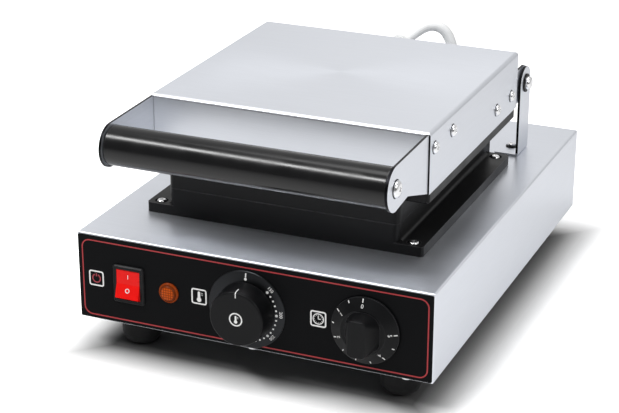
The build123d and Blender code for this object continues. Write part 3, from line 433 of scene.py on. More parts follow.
@dataclass(frozen=True)
class BrushedSteel:
    """Brushed stainless sheet or plate."""

    name: str
    colour: Colour = (0.735, 0.757, 0.805)
    roughness: float = 0.40
    grain: float = 0.025
    cloudiness: float = 0.03
    scratch_span: Flat = (0.25, 0.75)
    tones: Flat = (0.97, 1.02)
    anisotropy: float = 0.35
    worn: Colour = (0.86, 0.88, 0.92)
    dark: Colour = (0.012, 0.012, 0.014)

    def dark_mask(self, shader: Shader) -> bpy.types.NodeSocket | None:
        """Mask of the faces that look dark, or None where there are none."""
        return None

    def material(self) -> bpy.types.Material:
        """Builds the finish.

        Returns:
            The material.
        """
        shader = Shader(self.name, self.colour, self.roughness, 1.0)
        grain = shader.effect(Effect.BRUSHED_GRAIN)
        scratches = grain["Scratches"]
        finest, coarsest = self.roughness - self.grain, self.roughness + self.grain
        rough = shader.remap(scratches, self.scratch_span, (finest, coarsest))
        rough = shader.math("ADD", rough, shader.spread(grain["Clouds"], -self.cloudiness, self.cloudiness))
        tone = shader.blend(shader.spread(scratches), *(tinted(self.colour, t) for t in self.tones))
        # Paler edges: partly rubbed, partly a painted highlight along the edges.
        wear = shader.effect(Effect.EDGE_WEAR, Width=0.0006, Patchiness=0.3)["Mask"]
        tone = shader.blend(wear, tone, self.worn)
        mask = self.dark_mask(shader)
        if mask is not None:
            tone = shader.blend(mask, tone, self.dark)
        shader.feed(shader.surface, Base_Color=tone, Roughness=rough, Anisotropic=self.anisotropy)
        shader.bump(scratches, 0.02, 0.00001)
        return shader.material


@dataclass(frozen=True)
class CutPlate(BrushedSteel):
    """Brushed plate that stands across X, with dark sheared edges over its foot."""

    foot_rise: float = 3.0

    def dark_mask(self, shader: Shader) -> bpy.types.NodeSocket | None:
        """Masks the plate's narrow faces.

        Args:
            shader: The material's tree.

        Returns:
            The mask.
        """
        sideways = shader.math("ABSOLUTE", shader.parts(shader.geometry("True Normal"))["X"])
        narrow = shader.math("LESS_THAN", sideways, 0.5)
        foot = Datum.read().at(0.0, 0.0, self.foot_rise).z
        over = shader.math("GREATER_THAN", shader.parts(shader.place)["Z"], foot)
        return shader.math("MULTIPLY", narrow, over)


@dataclass(frozen=True)
class SlottedSheet(BrushedSteel):
    """Brushed lid sheet, with dark cut edges beside the slots that the side plates come out of."""

    slot_side: float = 113.45
    slot_depth: float = 0.9
    slot_top: float = 1.6
    facing: float = -0.3

    def dark_mask(self, shader: Shader) -> bpy.types.NodeSocket | None:
        """Masks the sheet's front edges outside the slots.

        Args:
            shader: The material's tree.

        Returns:
            The mask.
        """
        low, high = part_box("lid_shell")
        place = shader.parts(shader.place)
        normal = shader.parts(shader.geometry("True Normal"))
        forward = shader.math("LESS_THAN", normal["Y"], self.facing)
        outside = shader.math("GREATER_THAN", shader.math("ABSOLUTE", place["X"]), self.slot_side * MM)
        near = shader.math("LESS_THAN", place["Y"], low.y + self.slot_depth * MM)
        under = shader.math("LESS_THAN", place["Z"], high.z - self.slot_top * MM)
        edge = shader.math("MULTIPLY", forward, outside)
        return shader.math("MULTIPLY", edge, shader.math("MULTIPLY", near, under))


@dataclass(frozen=True)
class BrightMetal:
    """Turned or plated metal of screws, bolts and clips."""

    name: str
    colour: Colour
    roughness: float
    fineness: float = 2600.0
    dull: float = 0.8
    gloss: Flat = (-0.05, 0.08)

    def material(self) -> bpy.types.Material:
        """Builds the finish.

        Returns:
            The material.
        """
        shader = Shader(self.name, self.colour, self.roughness, 1.0)
        grain = shader.effect(Effect.MOULDED_GRAIN, Fineness=self.fineness)
        tone = shader.blend(shader.spread(grain["Height"]), tinted(self.colour, self.dull), self.colour)
        rough = shader.spread(grain["Gloss"], *(self.roughness + change for change in self.gloss))
        shader.feed(shader.surface, Base_Color=tone, Roughness=rough)
        return shader.material


@dataclass(frozen=True)
class Moulding:
    """Plastic, rubber, coated casting or board: a grain, slow gloss changes, paler edges that are partly
    rubbed and partly a painted highlight, and dust.
    """

    name: str
    colour: Colour
    roughness: float
    grain: float = 0.15
    fineness: float = 1500.0
    depth: float = 0.00004
    wear: float = 0.0
    worn: Colour = (0.16, 0.16, 0.17)
    dust: float = 0.0
    dust_colour: Colour = (0.35, 0.34, 0.32)
    metallic: float = 0.0
    specular: float = 0.5
    tones: Flat = (0.9, 1.1)
    gloss: Flat = (-0.05, 0.05)

    def material(self) -> bpy.types.Material:
        """Builds the finish.

        Returns:
            The material.
        """
        shader = Shader(self.name, self.colour, self.roughness, self.metallic)
        grain = shader.effect(Effect.MOULDED_GRAIN, Fineness=self.fineness)
        tone = shader.blend(grain["Gloss"], *(tinted(self.colour, t) for t in self.tones))
        # Paler edges: partly rubbed, partly a painted highlight along the edges.
        if self.wear:
            edges = shader.effect(Effect.EDGE_WEAR, Width=0.0007, Patchiness=0.6)["Mask"]
            tone = shader.blend(shader.math("MULTIPLY", edges, self.wear), tone, self.worn)
        if self.dust:
            lying = shader.effect(Effect.DUST, Amount=self.dust)["Mask"]
            tone = shader.blend(lying, tone, self.dust_colour)
        rough = shader.spread(grain["Gloss"], *(self.roughness + change for change in self.gloss))
        shader.feed(shader.surface, Base_Color=tone, Roughness=rough, Specular_IOR_Level=self.specular)
        shader.bump(grain["Height"], self.grain, self.depth)
        return shader.material


@dataclass(frozen=True)
class Ink:
    """Printed or paint-filled mark."""

    name: str
    colour: Colour
    roughness: float = 0.5
    fineness: float = 2400.0
    spot: float = 0.88

    def material(self) -> bpy.types.Material:
        """Builds the finish.

        Returns:
            The material.
        """
        shader = Shader(self.name, self.colour, self.roughness)
        spots = shader.spread(shader.noise(shader.place, self.fineness))
        tone = shader.blend(spots, tinted(self.colour, self.spot), self.colour)
        shader.feed(shader.surface, Base_Color=tone)
        return shader.material


@dataclass(frozen=True)
class ClearPlastic:
    """Tinted see-through plastic, seen by its colour, which also gives off a painted light in that colour."""

    name: str
    colour: Colour
    roughness: float
    glow: float
    specular: float
    streak_scale: float = 220.0
    streak: float = 0.85
    cloud_scale: float = 160.0
    gloss: Flat = (-0.03, 0.04)

    def tone(self, shader: Shader) -> bpy.types.NodeSocket:
        """Colour over the piece."""
        streaks = shader.noise(shader.place, self.streak_scale)
        return shader.blend(streaks, tinted(self.colour, self.streak), self.colour)

    def material(self) -> bpy.types.Material:
        """Builds the finish.

        Returns:
            The material.
        """
        shader = Shader(self.name, self.colour, self.roughness)
        clouds, tone = shader.noise(shader.place, self.cloud_scale), self.tone(shader)
        rough = shader.spread(clouds, *(self.roughness + change for change in self.gloss))
        shader.feed(shader.surface, Base_Color=tone, Roughness=rough, Specular_IOR_Level=self.specular)
        # Painted light: the plastic gives off light in its own colour.
        shader.feed(shader.surface, Emission_Color=tone, Emission_Strength=self.glow)
        return shader.material


@dataclass(frozen=True)
class PilotLens(ClearPlastic):
    """Amber lens: pale squares in a dark grid over the lamp, painted as the light and shade of its moulded
    facets, in a deep ring. Sizes are in millimetres.
    """

    deep: Colour = (0.15, 0.028, 0.006)
    pitch: float = 1.95
    grid_edge: Flat = (5.0, 5.6)
    rim_edge: Flat = (6.2, 7.0)
    cell_span: Flat = (0.25, 0.6)
    gap: float = 0.35
    ring: float = 0.5

    def tone(self, shader: Shader) -> bpy.types.NodeSocket:
        """Draws the grid of painted light and shade near the middle and the deep colour round it.

        Args:
            shader: The material's tree.

        Returns:
            The colour.
        """
        middle = sum(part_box("pilot_lens"), Vector()) / 2
        place = shader.parts(shader.place)
        sides = [shader.math("SUBTRACT", place[axis], getattr(middle, axis.lower())) for axis in "XZ"]
        turns = [shader.math("MULTIPLY", side, math.pi / (self.pitch * MM)) for side in sides]
        waves = [shader.math("ABSOLUTE", shader.math("COSINE", turn)) for turn in turns]
        facet_light_and_shade = shader.remap(shader.math("MINIMUM", *waves), self.cell_span, (0.0, 1.0))
        far = shader.math("SQRT", shader.math("ADD", *(shader.math("MULTIPLY", s, s) for s in sides)))
        inside = shader.remap(far, tuple(v * MM for v in self.grid_edge), (1.0, 0.0))
        outside = shader.remap(far, tuple(v * MM for v in self.rim_edge), (0.0, 1.0))
        ring = shader.blend(outside, self.deep, tinted(self.colour, self.ring))
        # Painted light and shade of the facets: pale squares parted by darker gaps.
        grid = shader.blend(facet_light_and_shade, tinted(self.colour, self.gap), self.colour)
        return shader.blend(inside, ring, grid)


@dataclass(frozen=True)
class WovenSleeve:
    """Pale sleeving over the lid's leads, with a fine diagonal weave on its own UV map, whose low parts are
    painted darker as shade.
    """

    name: str
    colour: Colour = (0.95, 0.96, 0.96)
    roughness: float = 0.55
    turns_round: float = 9.0
    turns_along: float = 70.0
    shade: float = 0.90

    def material(self) -> bpy.types.Material:
        """Builds the finish.

        Returns:
            The material.
        """
        shader = Shader(self.name, self.colour, self.roughness)
        place = shader.parts(shader.add("ShaderNodeUVMap", uv_map="weave").outputs["UV"])
        around = shader.math("MULTIPLY", place["X"], math.tau * self.turns_round)
        along = shader.math("MULTIPLY", place["Y"], math.tau * self.turns_along)
        threads = [shader.math("SINE", shader.math(way, around, along)) for way in ("ADD", "SUBTRACT")]
        weave = shader.remap(shader.math("MULTIPLY", *threads), (-1.0, 1.0), (0.0, 1.0))
        # Painted shade: the weave's low parts are drawn darker.
        tone = shader.blend(weave, tinted(self.colour, self.shade), self.colour)
        shader.feed(shader.surface, Base_Color=tone)
        shader.bump(weave, 0.5, 0.0002)
        return shader.material


class Finish(Enum):
    """Every finish of the machine."""

    STAINLESS = BrushedSteel("sheet_steel")
    ZINC_SHEET = BrushedSteel("zinc_sheet", (0.36, 0.37, 0.38), 0.52)
    PLATES = CutPlate("plate_steel")
    LID_SHEET = SlottedSheet("lid_steel")
    FASTENERS = BrightMetal("plated_fasteners", (0.93, 0.93, 0.94), 0.13)
    PLATED_STEEL = BrightMetal("zinc_plate", (0.62, 0.63, 0.64), 0.35)
    HEATER_STEEL = BrightMetal("heater_tube", (0.20, 0.19, 0.18), 0.42)
    CONTROL_METAL = BrightMetal("thermostat_case", (0.60, 0.60, 0.60), 0.38)
    DIAL_METAL = Moulding(
        "dial_metal", (0.025, 0.026, 0.028), 0.33, grain=0.05, fineness=2200.0, metallic=1.0,
    )
    # Dark washers, and the rings of painted shade under the screw heads.
    DARK_WASHER = Moulding("blackened_washer_and_seat_shade", (0.010, 0.010, 0.011), 0.45, specular=0.12)
    # The paler edges of the casting and the controls are partly rubbed, partly a painted highlight.
    CASTING = Moulding(
        "coated_casting", (0.0042, 0.0043, 0.0048), 0.38, grain=0.35, fineness=1100.0, depth=0.00008,
        wear=0.6, worn=(0.13, 0.13, 0.135), dust=0.02, specular=0.17,
    )
    OVERLAY = Moulding(
        "panel_film", (0.0042, 0.0044, 0.0050), 0.42, grain=0.05, fineness=2200.0, specular=0.045,
    )
    RUBBER = Moulding(
        "foot_rubber", (0.0090, 0.0090, 0.0095), 0.62, grain=0.3, fineness=900.0, dust=0.05, specular=0.15,
    )
    CONTROL_PLASTIC = Moulding(
        "control_plastic", (0.0050, 0.0052, 0.0058), 0.34, grain=0.12, fineness=1900.0, wear=0.45,
        specular=0.13,
    )
    HANDLE_PLASTIC = Moulding(
        "handle_plastic", (0.0030, 0.0031, 0.0035), 0.22, grain=0.22, fineness=1300.0, depth=0.00006,
        specular=0.42,
    )
    GLAND_PLASTIC = Moulding("gland_nylon", (0.86, 0.87, 0.87), 0.48, grain=0.1, fineness=1200.0)
    CERAMIC = Moulding("ceramic", (0.72, 0.70, 0.66), 0.45, grain=0.1, fineness=900.0)
    FIBRE_BOARD = Moulding("fibre_board", (0.62, 0.60, 0.55), 0.85, grain=0.5, fineness=500.0, depth=0.0002)
    ROCKER_RED = ClearPlastic("rocker_plastic", (0.80, 0.008, 0.006), 0.30, glow=0.08, specular=0.14)
    PILOT_AMBER = PilotLens("pilot_lens", (0.50, 0.075, 0.005), 0.25, glow=0.06, specular=0.08)
    WHITE_INK = Ink("white_ink", (0.86, 0.86, 0.85))
    RED_INK = Ink("red_ink", (0.40, 0.020, 0.026))
    DULL_RED_INK = Ink("dull_red_ink", (0.34, 0.030, 0.045))
    SLEEVE = WovenSleeve("woven_sleeve")

    @property
    def material(self) -> bpy.types.Material:
        """The finish's material."""
        return Materials.get(self)


class Materials:
    """The machine's materials, each made once. Packed ones may share a name, so none is found by it."""

    made: dict[Finish, bpy.types.Material] = {}

    @classmethod
    def get(cls, finish: Finish) -> bpy.types.Material:
        """Finds the material of a finish, which is made on its first use.

        Args:
            finish: The finish.

        Returns:
            The material.
        """
        if finish not in cls.made:
            cls.made[finish] = finish.value.material()
        return cls.made[finish]


# Meshes


@dataclass(frozen=True)
class Face:
    """A flat face to draw on: where it is, and which way its drawing runs."""

    origin: Vector
    right: Vector = field(default_factory=lambda: X_AXIS.copy())
    up: Vector = field(default_factory=lambda: Z_AXIS.copy())

    @classmethod
    def ground(cls) -> "Face":
        """The face at the origin that looks up."""
        return cls(Vector(), X_AXIS, Y_AXIS)

    @property
    def out(self) -> Vector:
        """The way that the face looks."""
        return self.right.cross(self.up)

    def at(self, u: float, v: float, w: float = 0.0) -> Vector:
        """The point u to the right, v up and w out of the face."""
        return self.origin + self.right * u + self.up * v + self.out * w

    def turned(self, angle: float, u: float = 0.0, v: float = 0.0) -> "Face":
        """The face about another point of its own, with its drawing turned anticlockwise."""
        c, s = math.cos(angle), math.sin(angle)
        return Face(self.at(u, v), self.right * c + self.up * s, self.up * c - self.right * s)

    def matrix(self) -> Matrix:
        """The change from drawing coordinates to the model's frame."""
        turn = Matrix((self.right, self.up, self.out)).transposed().to_4x4()
        return Matrix.Translation(self.origin) @ turn


@dataclass(frozen=True)
class Cone:
    """A sloping rim of a dial: radius and height at its outer and at its inner edge, in millimetres."""

    outer: Flat
    inner: Flat

    def spot(self, foot: Face, angle: float, radius: float) -> Face:
        """Finds a place to draw on the cone, whose up runs outward down the slope.

        Args:
            foot: The face that the cone stands on, about its axis.
            angle: Degrees anticlockwise from the right.
            radius: The place's distance from the axis, in millimetres.

        Returns:
            The face on the cone.
        """
        slope = math.atan2(self.inner[1] - self.outer[1], self.outer[0] - self.inner[0])
        height = self.outer[1] + (self.outer[0] - radius) * math.tan(slope)
        a = math.radians(angle)
        flat = foot.turned(a - math.pi / 2, radius * MM * math.cos(a), radius * MM * math.sin(a))
        up = flat.up * math.cos(slope) - flat.out * math.sin(slope)
        return Face(flat.origin + flat.out * height * MM, flat.right, up)

    def unit_face(self, radius: float) -> Face:
        """The face that a mark is drawn on before a tree repeats it round the dial."""
        top = self.spot(Face.ground(), 90.0, radius)
        return Face(Z_AXIS * top.origin.z, top.right, top.up)


def circle(radius: float, count: int, start: float = 0.0, sweep: float = math.tau) -> list[Flat]:
    """Points on a circle or an arc of it, the last one short of a whole turn.

    Args:
        radius: The circle's radius.
        count: How many points.
        start: First angle.
        sweep: Angle covered, a whole turn unless given.

    Returns:
        The points, anticlockwise.
    """
    steps = count if sweep >= math.tau else count - 1
    angles = [start + sweep * i / steps for i in range(count)]
    return [(radius * math.cos(a), radius * math.sin(a)) for a in angles]


def rounded_box(width: float, height: float, radius: float, steps: int = 6) -> list[Flat]:
    """Outline of a rectangle with rounded corners about its centre.

    Args:
        width: Its size to the right.
        height: Its size upward.
        radius: The corners' radius.
        steps: Edges to a corner.

    Returns:
        The points, anticlockwise.
    """
    points: list[Flat] = []
    for k, (sx, sy) in enumerate(((1, 1), (-1, 1), (-1, -1), (1, -1))):
        cx, cy = sx * (width / 2 - radius), sy * (height / 2 - radius)
        for x, y in circle(radius, steps + 1, k * math.pi / 2, math.pi / 2):
            points.append((cx + x, cy + y))
    return points


class Pattern:
    """A mesh under construction, drawn on faces."""

    def __init__(self) -> None:
        """Starts empty."""
        self.mesh = bmesh.new()

    def ring(self, face: Face, points: Iterable[Flat], w: float) -> list[bmesh.types.BMVert]:
        """Vertices of one outline at a height over a face."""
        return [self.mesh.verts.new(face.at(u, v, w)) for u, v in points]

    def wall(self, low: list[bmesh.types.BMVert], high: list[bmesh.types.BMVert]) -> None:
        """Joins two outlines of the same count with faces.

        Args:
            low: Vertices of the lower outline.
            high: Vertices of the upper outline.
        """
        for i in range(len(low)):
            j = (i + 1) % len(low)
            self.mesh.faces.new((low[i], low[j], high[j], high[i]))

    def prism(self, face: Face, points: Sequence[Flat], low: float, high: float) -> "Pattern":
        """Draws a closed solid from an outline.

        Args:
            face: Where it stands.
            points: The outline, anticlockwise.
            low: Its lower height over the face.
            high: Its upper height.

        Returns:
            The pattern itself.
        """
        bottom, top = self.ring(face, points, low), self.ring(face, points, high)
        self.wall(bottom, top)
        self.mesh.faces.new(top)
        self.mesh.faces.new(bottom[::-1])
        return self

    def band(self, face: Face, outer: Sequence[Flat], inner: Sequence[Flat],
             low: float, high: float) -> "Pattern":
        """Draws a closed ring between two outlines.

        Args:
            face: Where it stands.
            outer: The outer outline, anticlockwise.
            inner: The inner outline, with the same count.
            low: Its lower height over the face.
            high: Its upper height.

        Returns:
            The pattern itself.
        """
        walk = ((outer, low), (outer, high), (inner, high), (inner, low))
        rings = [self.ring(face, outline, w) for outline, w in walk]
        for a, b in zip(rings, rings[1:] + rings[:1]):
            self.wall(a, b)
        return self

    def bar(self, face: Face, start: Flat, end: Flat, width: float, low: float, high: float) -> "Pattern":
        """Draws a straight stroke with square ends.

        Args:
            face: Where it stands.
            start: The middle of its first end.
            end: The middle of its last end.
            width: Its width.
            low: Its lower height over the face.
            high: Its upper height.

        Returns:
            The pattern itself.
        """
        (x0, y0), (x1, y1) = start, end
        long = math.hypot(x1 - x0, y1 - y0)
        nx, ny = -(y1 - y0) / long * width / 2, (x1 - x0) / long * width / 2
        outline = [(x0 - nx, y0 - ny), (x1 - nx, y1 - ny), (x1 + nx, y1 + ny), (x0 + nx, y0 + ny)]
        return self.prism(face, outline, low, high)

    def arc(self, face: Face, radius: float, width: float, start: float, sweep: float,
            low: float, high: float) -> "Pattern":
        """Draws a stroke along an arc.

        Args:
            face: Where it stands, about the arc's centre.
            radius: The radius of its middle line.
            width: Its width.
            start: Its first angle.
            sweep: The angle that it covers.
            low: Its lower height over the face.
            high: Its upper height.

        Returns:
            The pattern itself.
        """
        points_a_turn, fewest = 48, 6
        count = max(fewest, int(abs(sweep) / math.tau * points_a_turn))
        outer = circle(radius + width / 2, count, start, sweep)
        inner = circle(radius - width / 2, count, start, sweep)
        return self.prism(face, outer + inner[::-1], low, high)

    def lathe(self, face: Face, profile: Sequence[Flat], count: int = 48) -> "Pattern":
        """Draws a turned solid about the face's normal.

        Args:
            face: Where it stands.
            profile: Pairs of radius and height, as a walk that starts and ends on the axis, or that
                returns to its start.
            count: Points round it.

        Returns:
            The pattern itself.
        """
        rings: list[list[bmesh.types.BMVert]] = []
        for radius, w in profile:
            if radius == 0.0:
                rings.append([self.mesh.verts.new(face.at(0.0, 0.0, w))])
            else:
                rings.append(self.ring(face, circle(radius, count), w))
        for a, b in zip(rings, rings[1:]):
            for i in range(count):
                j = (i + 1) % count
                if len(a) == 1:
                    self.mesh.faces.new((a[0], b[j], b[i]))
                elif len(b) == 1:
                    self.mesh.faces.new((a[i], a[j], b[0]))
                else:
                    self.mesh.faces.new((a[i], a[j], b[j], b[i]))
        return self

    def text(self, face: Face, words: str, size: float, low: float, high: float) -> "Pattern":
        """Draws numbers in the plain built-in face, centred on the face's origin.

        Args:
            face: Where they stand.
            words: The numbers.
            size: Their size.
            low: Their lower height over the face.
            high: Their upper height.

        Returns:
            The pattern itself.
        """
        curve = bpy.data.curves.new("numerals", "FONT")
        curve.body = words
        curve.size = size
        curve.align_x = "CENTER"
        curve.align_y = "CENTER"
        curve.extrude = (high - low) / 2
        curve.resolution_u = 3
        flat = plain_mesh(curve)
        flat.transform(face.matrix() @ Matrix.Translation((0.0, 0.0, (low + high) / 2)))
        self.mesh.from_mesh(flat)
        bpy.data.meshes.remove(flat)
        return self

    def data(self, name: str, smooth_under: float | None = None) -> bpy.types.Mesh:
        """Closes the mesh.

        Args:
            name: The mesh's name.
            smooth_under: Angle in degrees under which edges shade smoothly, or None for flat faces.

        Returns:
            The mesh, with its faces pointing out.
        """
        bmesh.ops.remove_doubles(self.mesh, verts=self.mesh.verts, dist=1e-7)
        bmesh.ops.recalc_face_normals(self.mesh, faces=self.mesh.faces)
        if smooth_under is not None:
            for f in self.mesh.faces:
                f.smooth = True
            limit = math.radians(smooth_under)
            for e in self.mesh.edges:
                e.smooth = len(e.link_faces) == 2 and e.calc_face_angle(0.0) < limit
        mesh = bpy.data.meshes.new(name)
        self.mesh.to_mesh(mesh)
        self.mesh.free()
        return mesh


def plain_mesh(curve: bpy.types.Curve) -> bpy.types.Mesh:
    """Turns a curve into a mesh, and removes it.

    Args:
        curve: The curve or text.

    Returns:
        Its mesh, in its own coordinates.
    """
    holder = bpy.data.objects.new("curve_holder", curve)
    bpy.context.scene.collection.objects.link(holder)
    bpy.context.view_layer.update()
    ready = holder.evaluated_get(bpy.context.evaluated_depsgraph_get())
    mesh = bpy.data.meshes.new_from_object(ready)
    bpy.data.objects.remove(holder)
    bpy.data.curves.remove(curve)
    return mesh


def show(name: str, mesh: bpy.types.Mesh, finish: Finish, body: Body,
         replaces: Sequence[str] = ()) -> bpy.types.Object:
    """Puts a finished piece in the scene.

    Args:
        name: The piece's name.
        mesh: Its mesh, in the model's frame.
        finish: The finish that it wears.
        body: The body that it rides on.
        replaces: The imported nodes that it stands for.

    Returns:
        The object.
    """
    piece = bpy.data.objects.new(name, mesh)
    bpy.context.scene.collection.objects.link(piece)
    mesh.materials.clear()
    mesh.materials.append(finish.material)
    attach(piece, body.value)
    if replaces:
        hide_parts(*replaces)
    LOG.info("%s made", name)
    return piece


# Repeated pieces


class Repeats:
    """Geometry node trees that repeat a unit, and the call that turns their result into a mesh."""

    seats: bpy.types.NodeTree | None = None
    dial: bpy.types.NodeTree | None = None

    @staticmethod
    def _start(name: str, sockets: dict[str, str]) -> tuple[Wiring, bpy.types.Node, bpy.types.Node]:
        """Starts a geometry tree with one geometry output.

        Args:
            name: The tree's name.
            sockets: The kind of each input beside the geometry.

        Returns:
            The wiring of the tree, its input node and its output node.
        """
        tree = bpy.data.node_groups.new(name, "GeometryNodeTree")
        for label, kind in {"Geometry": "Geometry", **sockets}.items():
            tree.interface.new_socket(label, in_out="INPUT", socket_type="NodeSocket" + kind)
        tree.interface.new_socket("Geometry", in_out="OUTPUT", socket_type="NodeSocketGeometry")
        return Wiring(tree), tree.nodes.new("NodeGroupInput"), tree.nodes.new("NodeGroupOutput")

    @staticmethod
    def _finish(wire: Wiring, source: bpy.types.Node, target: bpy.types.Node, placed: bpy.types.Node) -> None:
        """Ends a tree with Realize Instances and Set Material.

        Args:
            wire: The wiring of the tree.
            source: Its input node.
            target: Its output node.
            placed: The node that places the instances.
        """
        real = wire.feed(wire.add("GeometryNodeRealizeInstances"), Geometry=placed.outputs["Instances"])
        dressed = wire.add("GeometryNodeSetMaterial")
        wire.feed(dressed, Geometry=real.outputs["Geometry"], Material=source.outputs["Material"])
        wire.feed(target, Geometry=dressed.outputs["Geometry"])

    @classmethod
    def on_seats(cls) -> bpy.types.NodeTree:
        """Builds the tree that puts a unit on each point, along the point's "out", with a seeded spin.

        Returns:
            The tree.
        """
        if cls.seats:
            return cls.seats
        sockets = {"Unit": "Object", "Size": "Float", "Spin": "Float", "Seed": "Int", "Material": "Material"}
        wire, source, target = cls._start("unit_on_each_seat", sockets)
        unit = wire.feed(wire.add("GeometryNodeObjectInfo"), Object=source.outputs["Unit"])
        out = wire.feed(wire.add("GeometryNodeInputNamedAttribute", data_type="FLOAT_VECTOR"), Name="out")
        aim = wire.add("FunctionNodeAlignRotationToVector", axis="Z")
        wire.feed(aim, Vector=out.outputs["Attribute"])
        chance = wire.add("FunctionNodeRandomValue", data_type="FLOAT")
        for socket in chance.inputs:
            if socket.name == "Max" and socket.type == "VALUE":
                wire.join(source.outputs["Spin"], socket)
            if socket.name == "Seed":
                wire.join(source.outputs["Seed"], socket)
        drawn = next(o for o in chance.outputs if o.type == "VALUE")
        spin = wire.feed(wire.add("FunctionNodeAxisAngleToRotation"), Axis=tuple(Z_AXIS), Angle=drawn)
        turned = wire.add("FunctionNodeRotateRotation", rotation_space="LOCAL")
        wire.feed(turned, Rotation=aim.outputs["Rotation"], Rotate_By=spin.outputs["Rotation"])
        placed = wire.add("GeometryNodeInstanceOnPoints")
        wire.feed(placed, Points=source.outputs["Geometry"], Instance=unit.outputs["Geometry"])
        wire.feed(placed, Rotation=turned.outputs["Rotation"], Scale=source.outputs["Size"])
        cls._finish(wire, source, target, placed)
        cls.seats = wire.tree
        return wire.tree

    @classmethod
    def round_dial(cls) -> bpy.types.NodeTree:
        """Builds the tree that repeats a unit at even angles round a dial that looks along -Y.

        Returns:
            The tree. The unit's own Y axis points outward.
        """
        if cls.dial:
            return cls.dial
        wire, source, target = cls._start("unit_round_a_dial", {
            "Unit": "Object", "Count": "Int", "First": "Float", "Step": "Float", "Radius": "Float",
            "Centre": "Vector", "Material": "Material",
        })
        unit = wire.feed(wire.add("GeometryNodeObjectInfo"), Object=source.outputs["Unit"])
        points = wire.feed(wire.add("GeometryNodePoints"), Count=source.outputs["Count"])
        index = wire.add("GeometryNodeInputIndex").outputs["Index"]
        angle = wire.math("MULTIPLY", index, source.outputs["Step"])
        angle = wire.math("ADD", angle, source.outputs["First"])
        across = wire.math("MULTIPLY", wire.math("COSINE", angle), source.outputs["Radius"])
        upward = wire.math("MULTIPLY", wire.math("SINE", angle), source.outputs["Radius"])
        spot = wire.feed(wire.add("ShaderNodeCombineXYZ"), X=across, Z=upward)
        place = wire.add("ShaderNodeVectorMath", operation="ADD")
        wire.join(spot.outputs["Vector"], place.inputs[0])
        wire.join(source.outputs["Centre"], place.inputs[1])
        moved = wire.add("GeometryNodeSetPosition")
        wire.feed(moved, Geometry=points.outputs[0], Position=place.outputs["Vector"])
        upright = wire.feed(wire.add("FunctionNodeEulerToRotation"), Euler=(math.pi / 2, 0.0, 0.0))
        swing = wire.add("FunctionNodeAxisAngleToRotation")
        wire.feed(swing, Axis=tuple(-Y_AXIS), Angle=wire.math("SUBTRACT", angle, math.pi / 2))
        turned = wire.add("FunctionNodeRotateRotation", rotation_space="GLOBAL")
        wire.feed(turned, Rotation=upright.outputs["Rotation"], Rotate_By=swing.outputs["Rotation"])
        placed = wire.add("GeometryNodeInstanceOnPoints")
        wire.feed(placed, Points=moved.outputs["Geometry"], Instance=unit.outputs["Geometry"])
        wire.feed(placed, Rotation=turned.outputs["Rotation"])
        cls._finish(wire, source, target, placed)
        cls.dial = wire.tree
        return wire.tree

    @staticmethod
    def bake(name: str, tree: bpy.types.NodeTree, seats: bpy.types.Mesh, unit: bpy.types.Mesh,
             finish: Finish, **sizes: object) -> bpy.types.Mesh:
        """Runs a tree on a mesh of seats.

        Args:
            name: The new mesh's name.
            tree: The geometry tree.
            seats: The points to build on, or an empty mesh.
            unit: The mesh that is repeated.
            finish: The finish to set.
            **sizes: The tree's other named inputs.

        Returns:
            The plain mesh, with nothing live on it.
        """
        holder = bpy.data.objects.new(name + "_seats", seats)
        pattern = bpy.data.objects.new(name + "_unit", unit)
        for o in (holder, pattern):
            bpy.context.scene.collection.objects.link(o)
        live = holder.modifiers.new("repeat", "NODES")
        live.node_group = tree
        values = {"Unit": pattern, "Material": finish.material, **sizes}
        for item in tree.interface.items_tree:
            if item.in_out == "INPUT" and item.name in values:
                live[item.identifier] = values[item.name]
        bpy.context.view_layer.update()
        ready = holder.evaluated_get(bpy.context.evaluated_depsgraph_get())
        mesh = bpy.data.meshes.new_from_object(ready)
        mesh.name = name
        holder.modifiers.remove(live)
        for o in (holder, pattern):
            bpy.data.objects.remove(o)
        return mesh


def seat_mesh(seats: Seats) -> bpy.types.Mesh:
    """Makes the points that units stand on.

    Args:
        seats: Each unit's place and the way it stands out.

    Returns:
        The points, with that way as their "out".
    """
    mesh = bpy.data.meshes.new("seats")
    mesh.from_pydata([tuple(place) for place, _ in seats], [], [])
    out = mesh.attributes.new("out", "FLOAT_VECTOR", "POINT")
    for item, (_, direction) in zip(out.data, seats):
        item.vector = direction
    return mesh


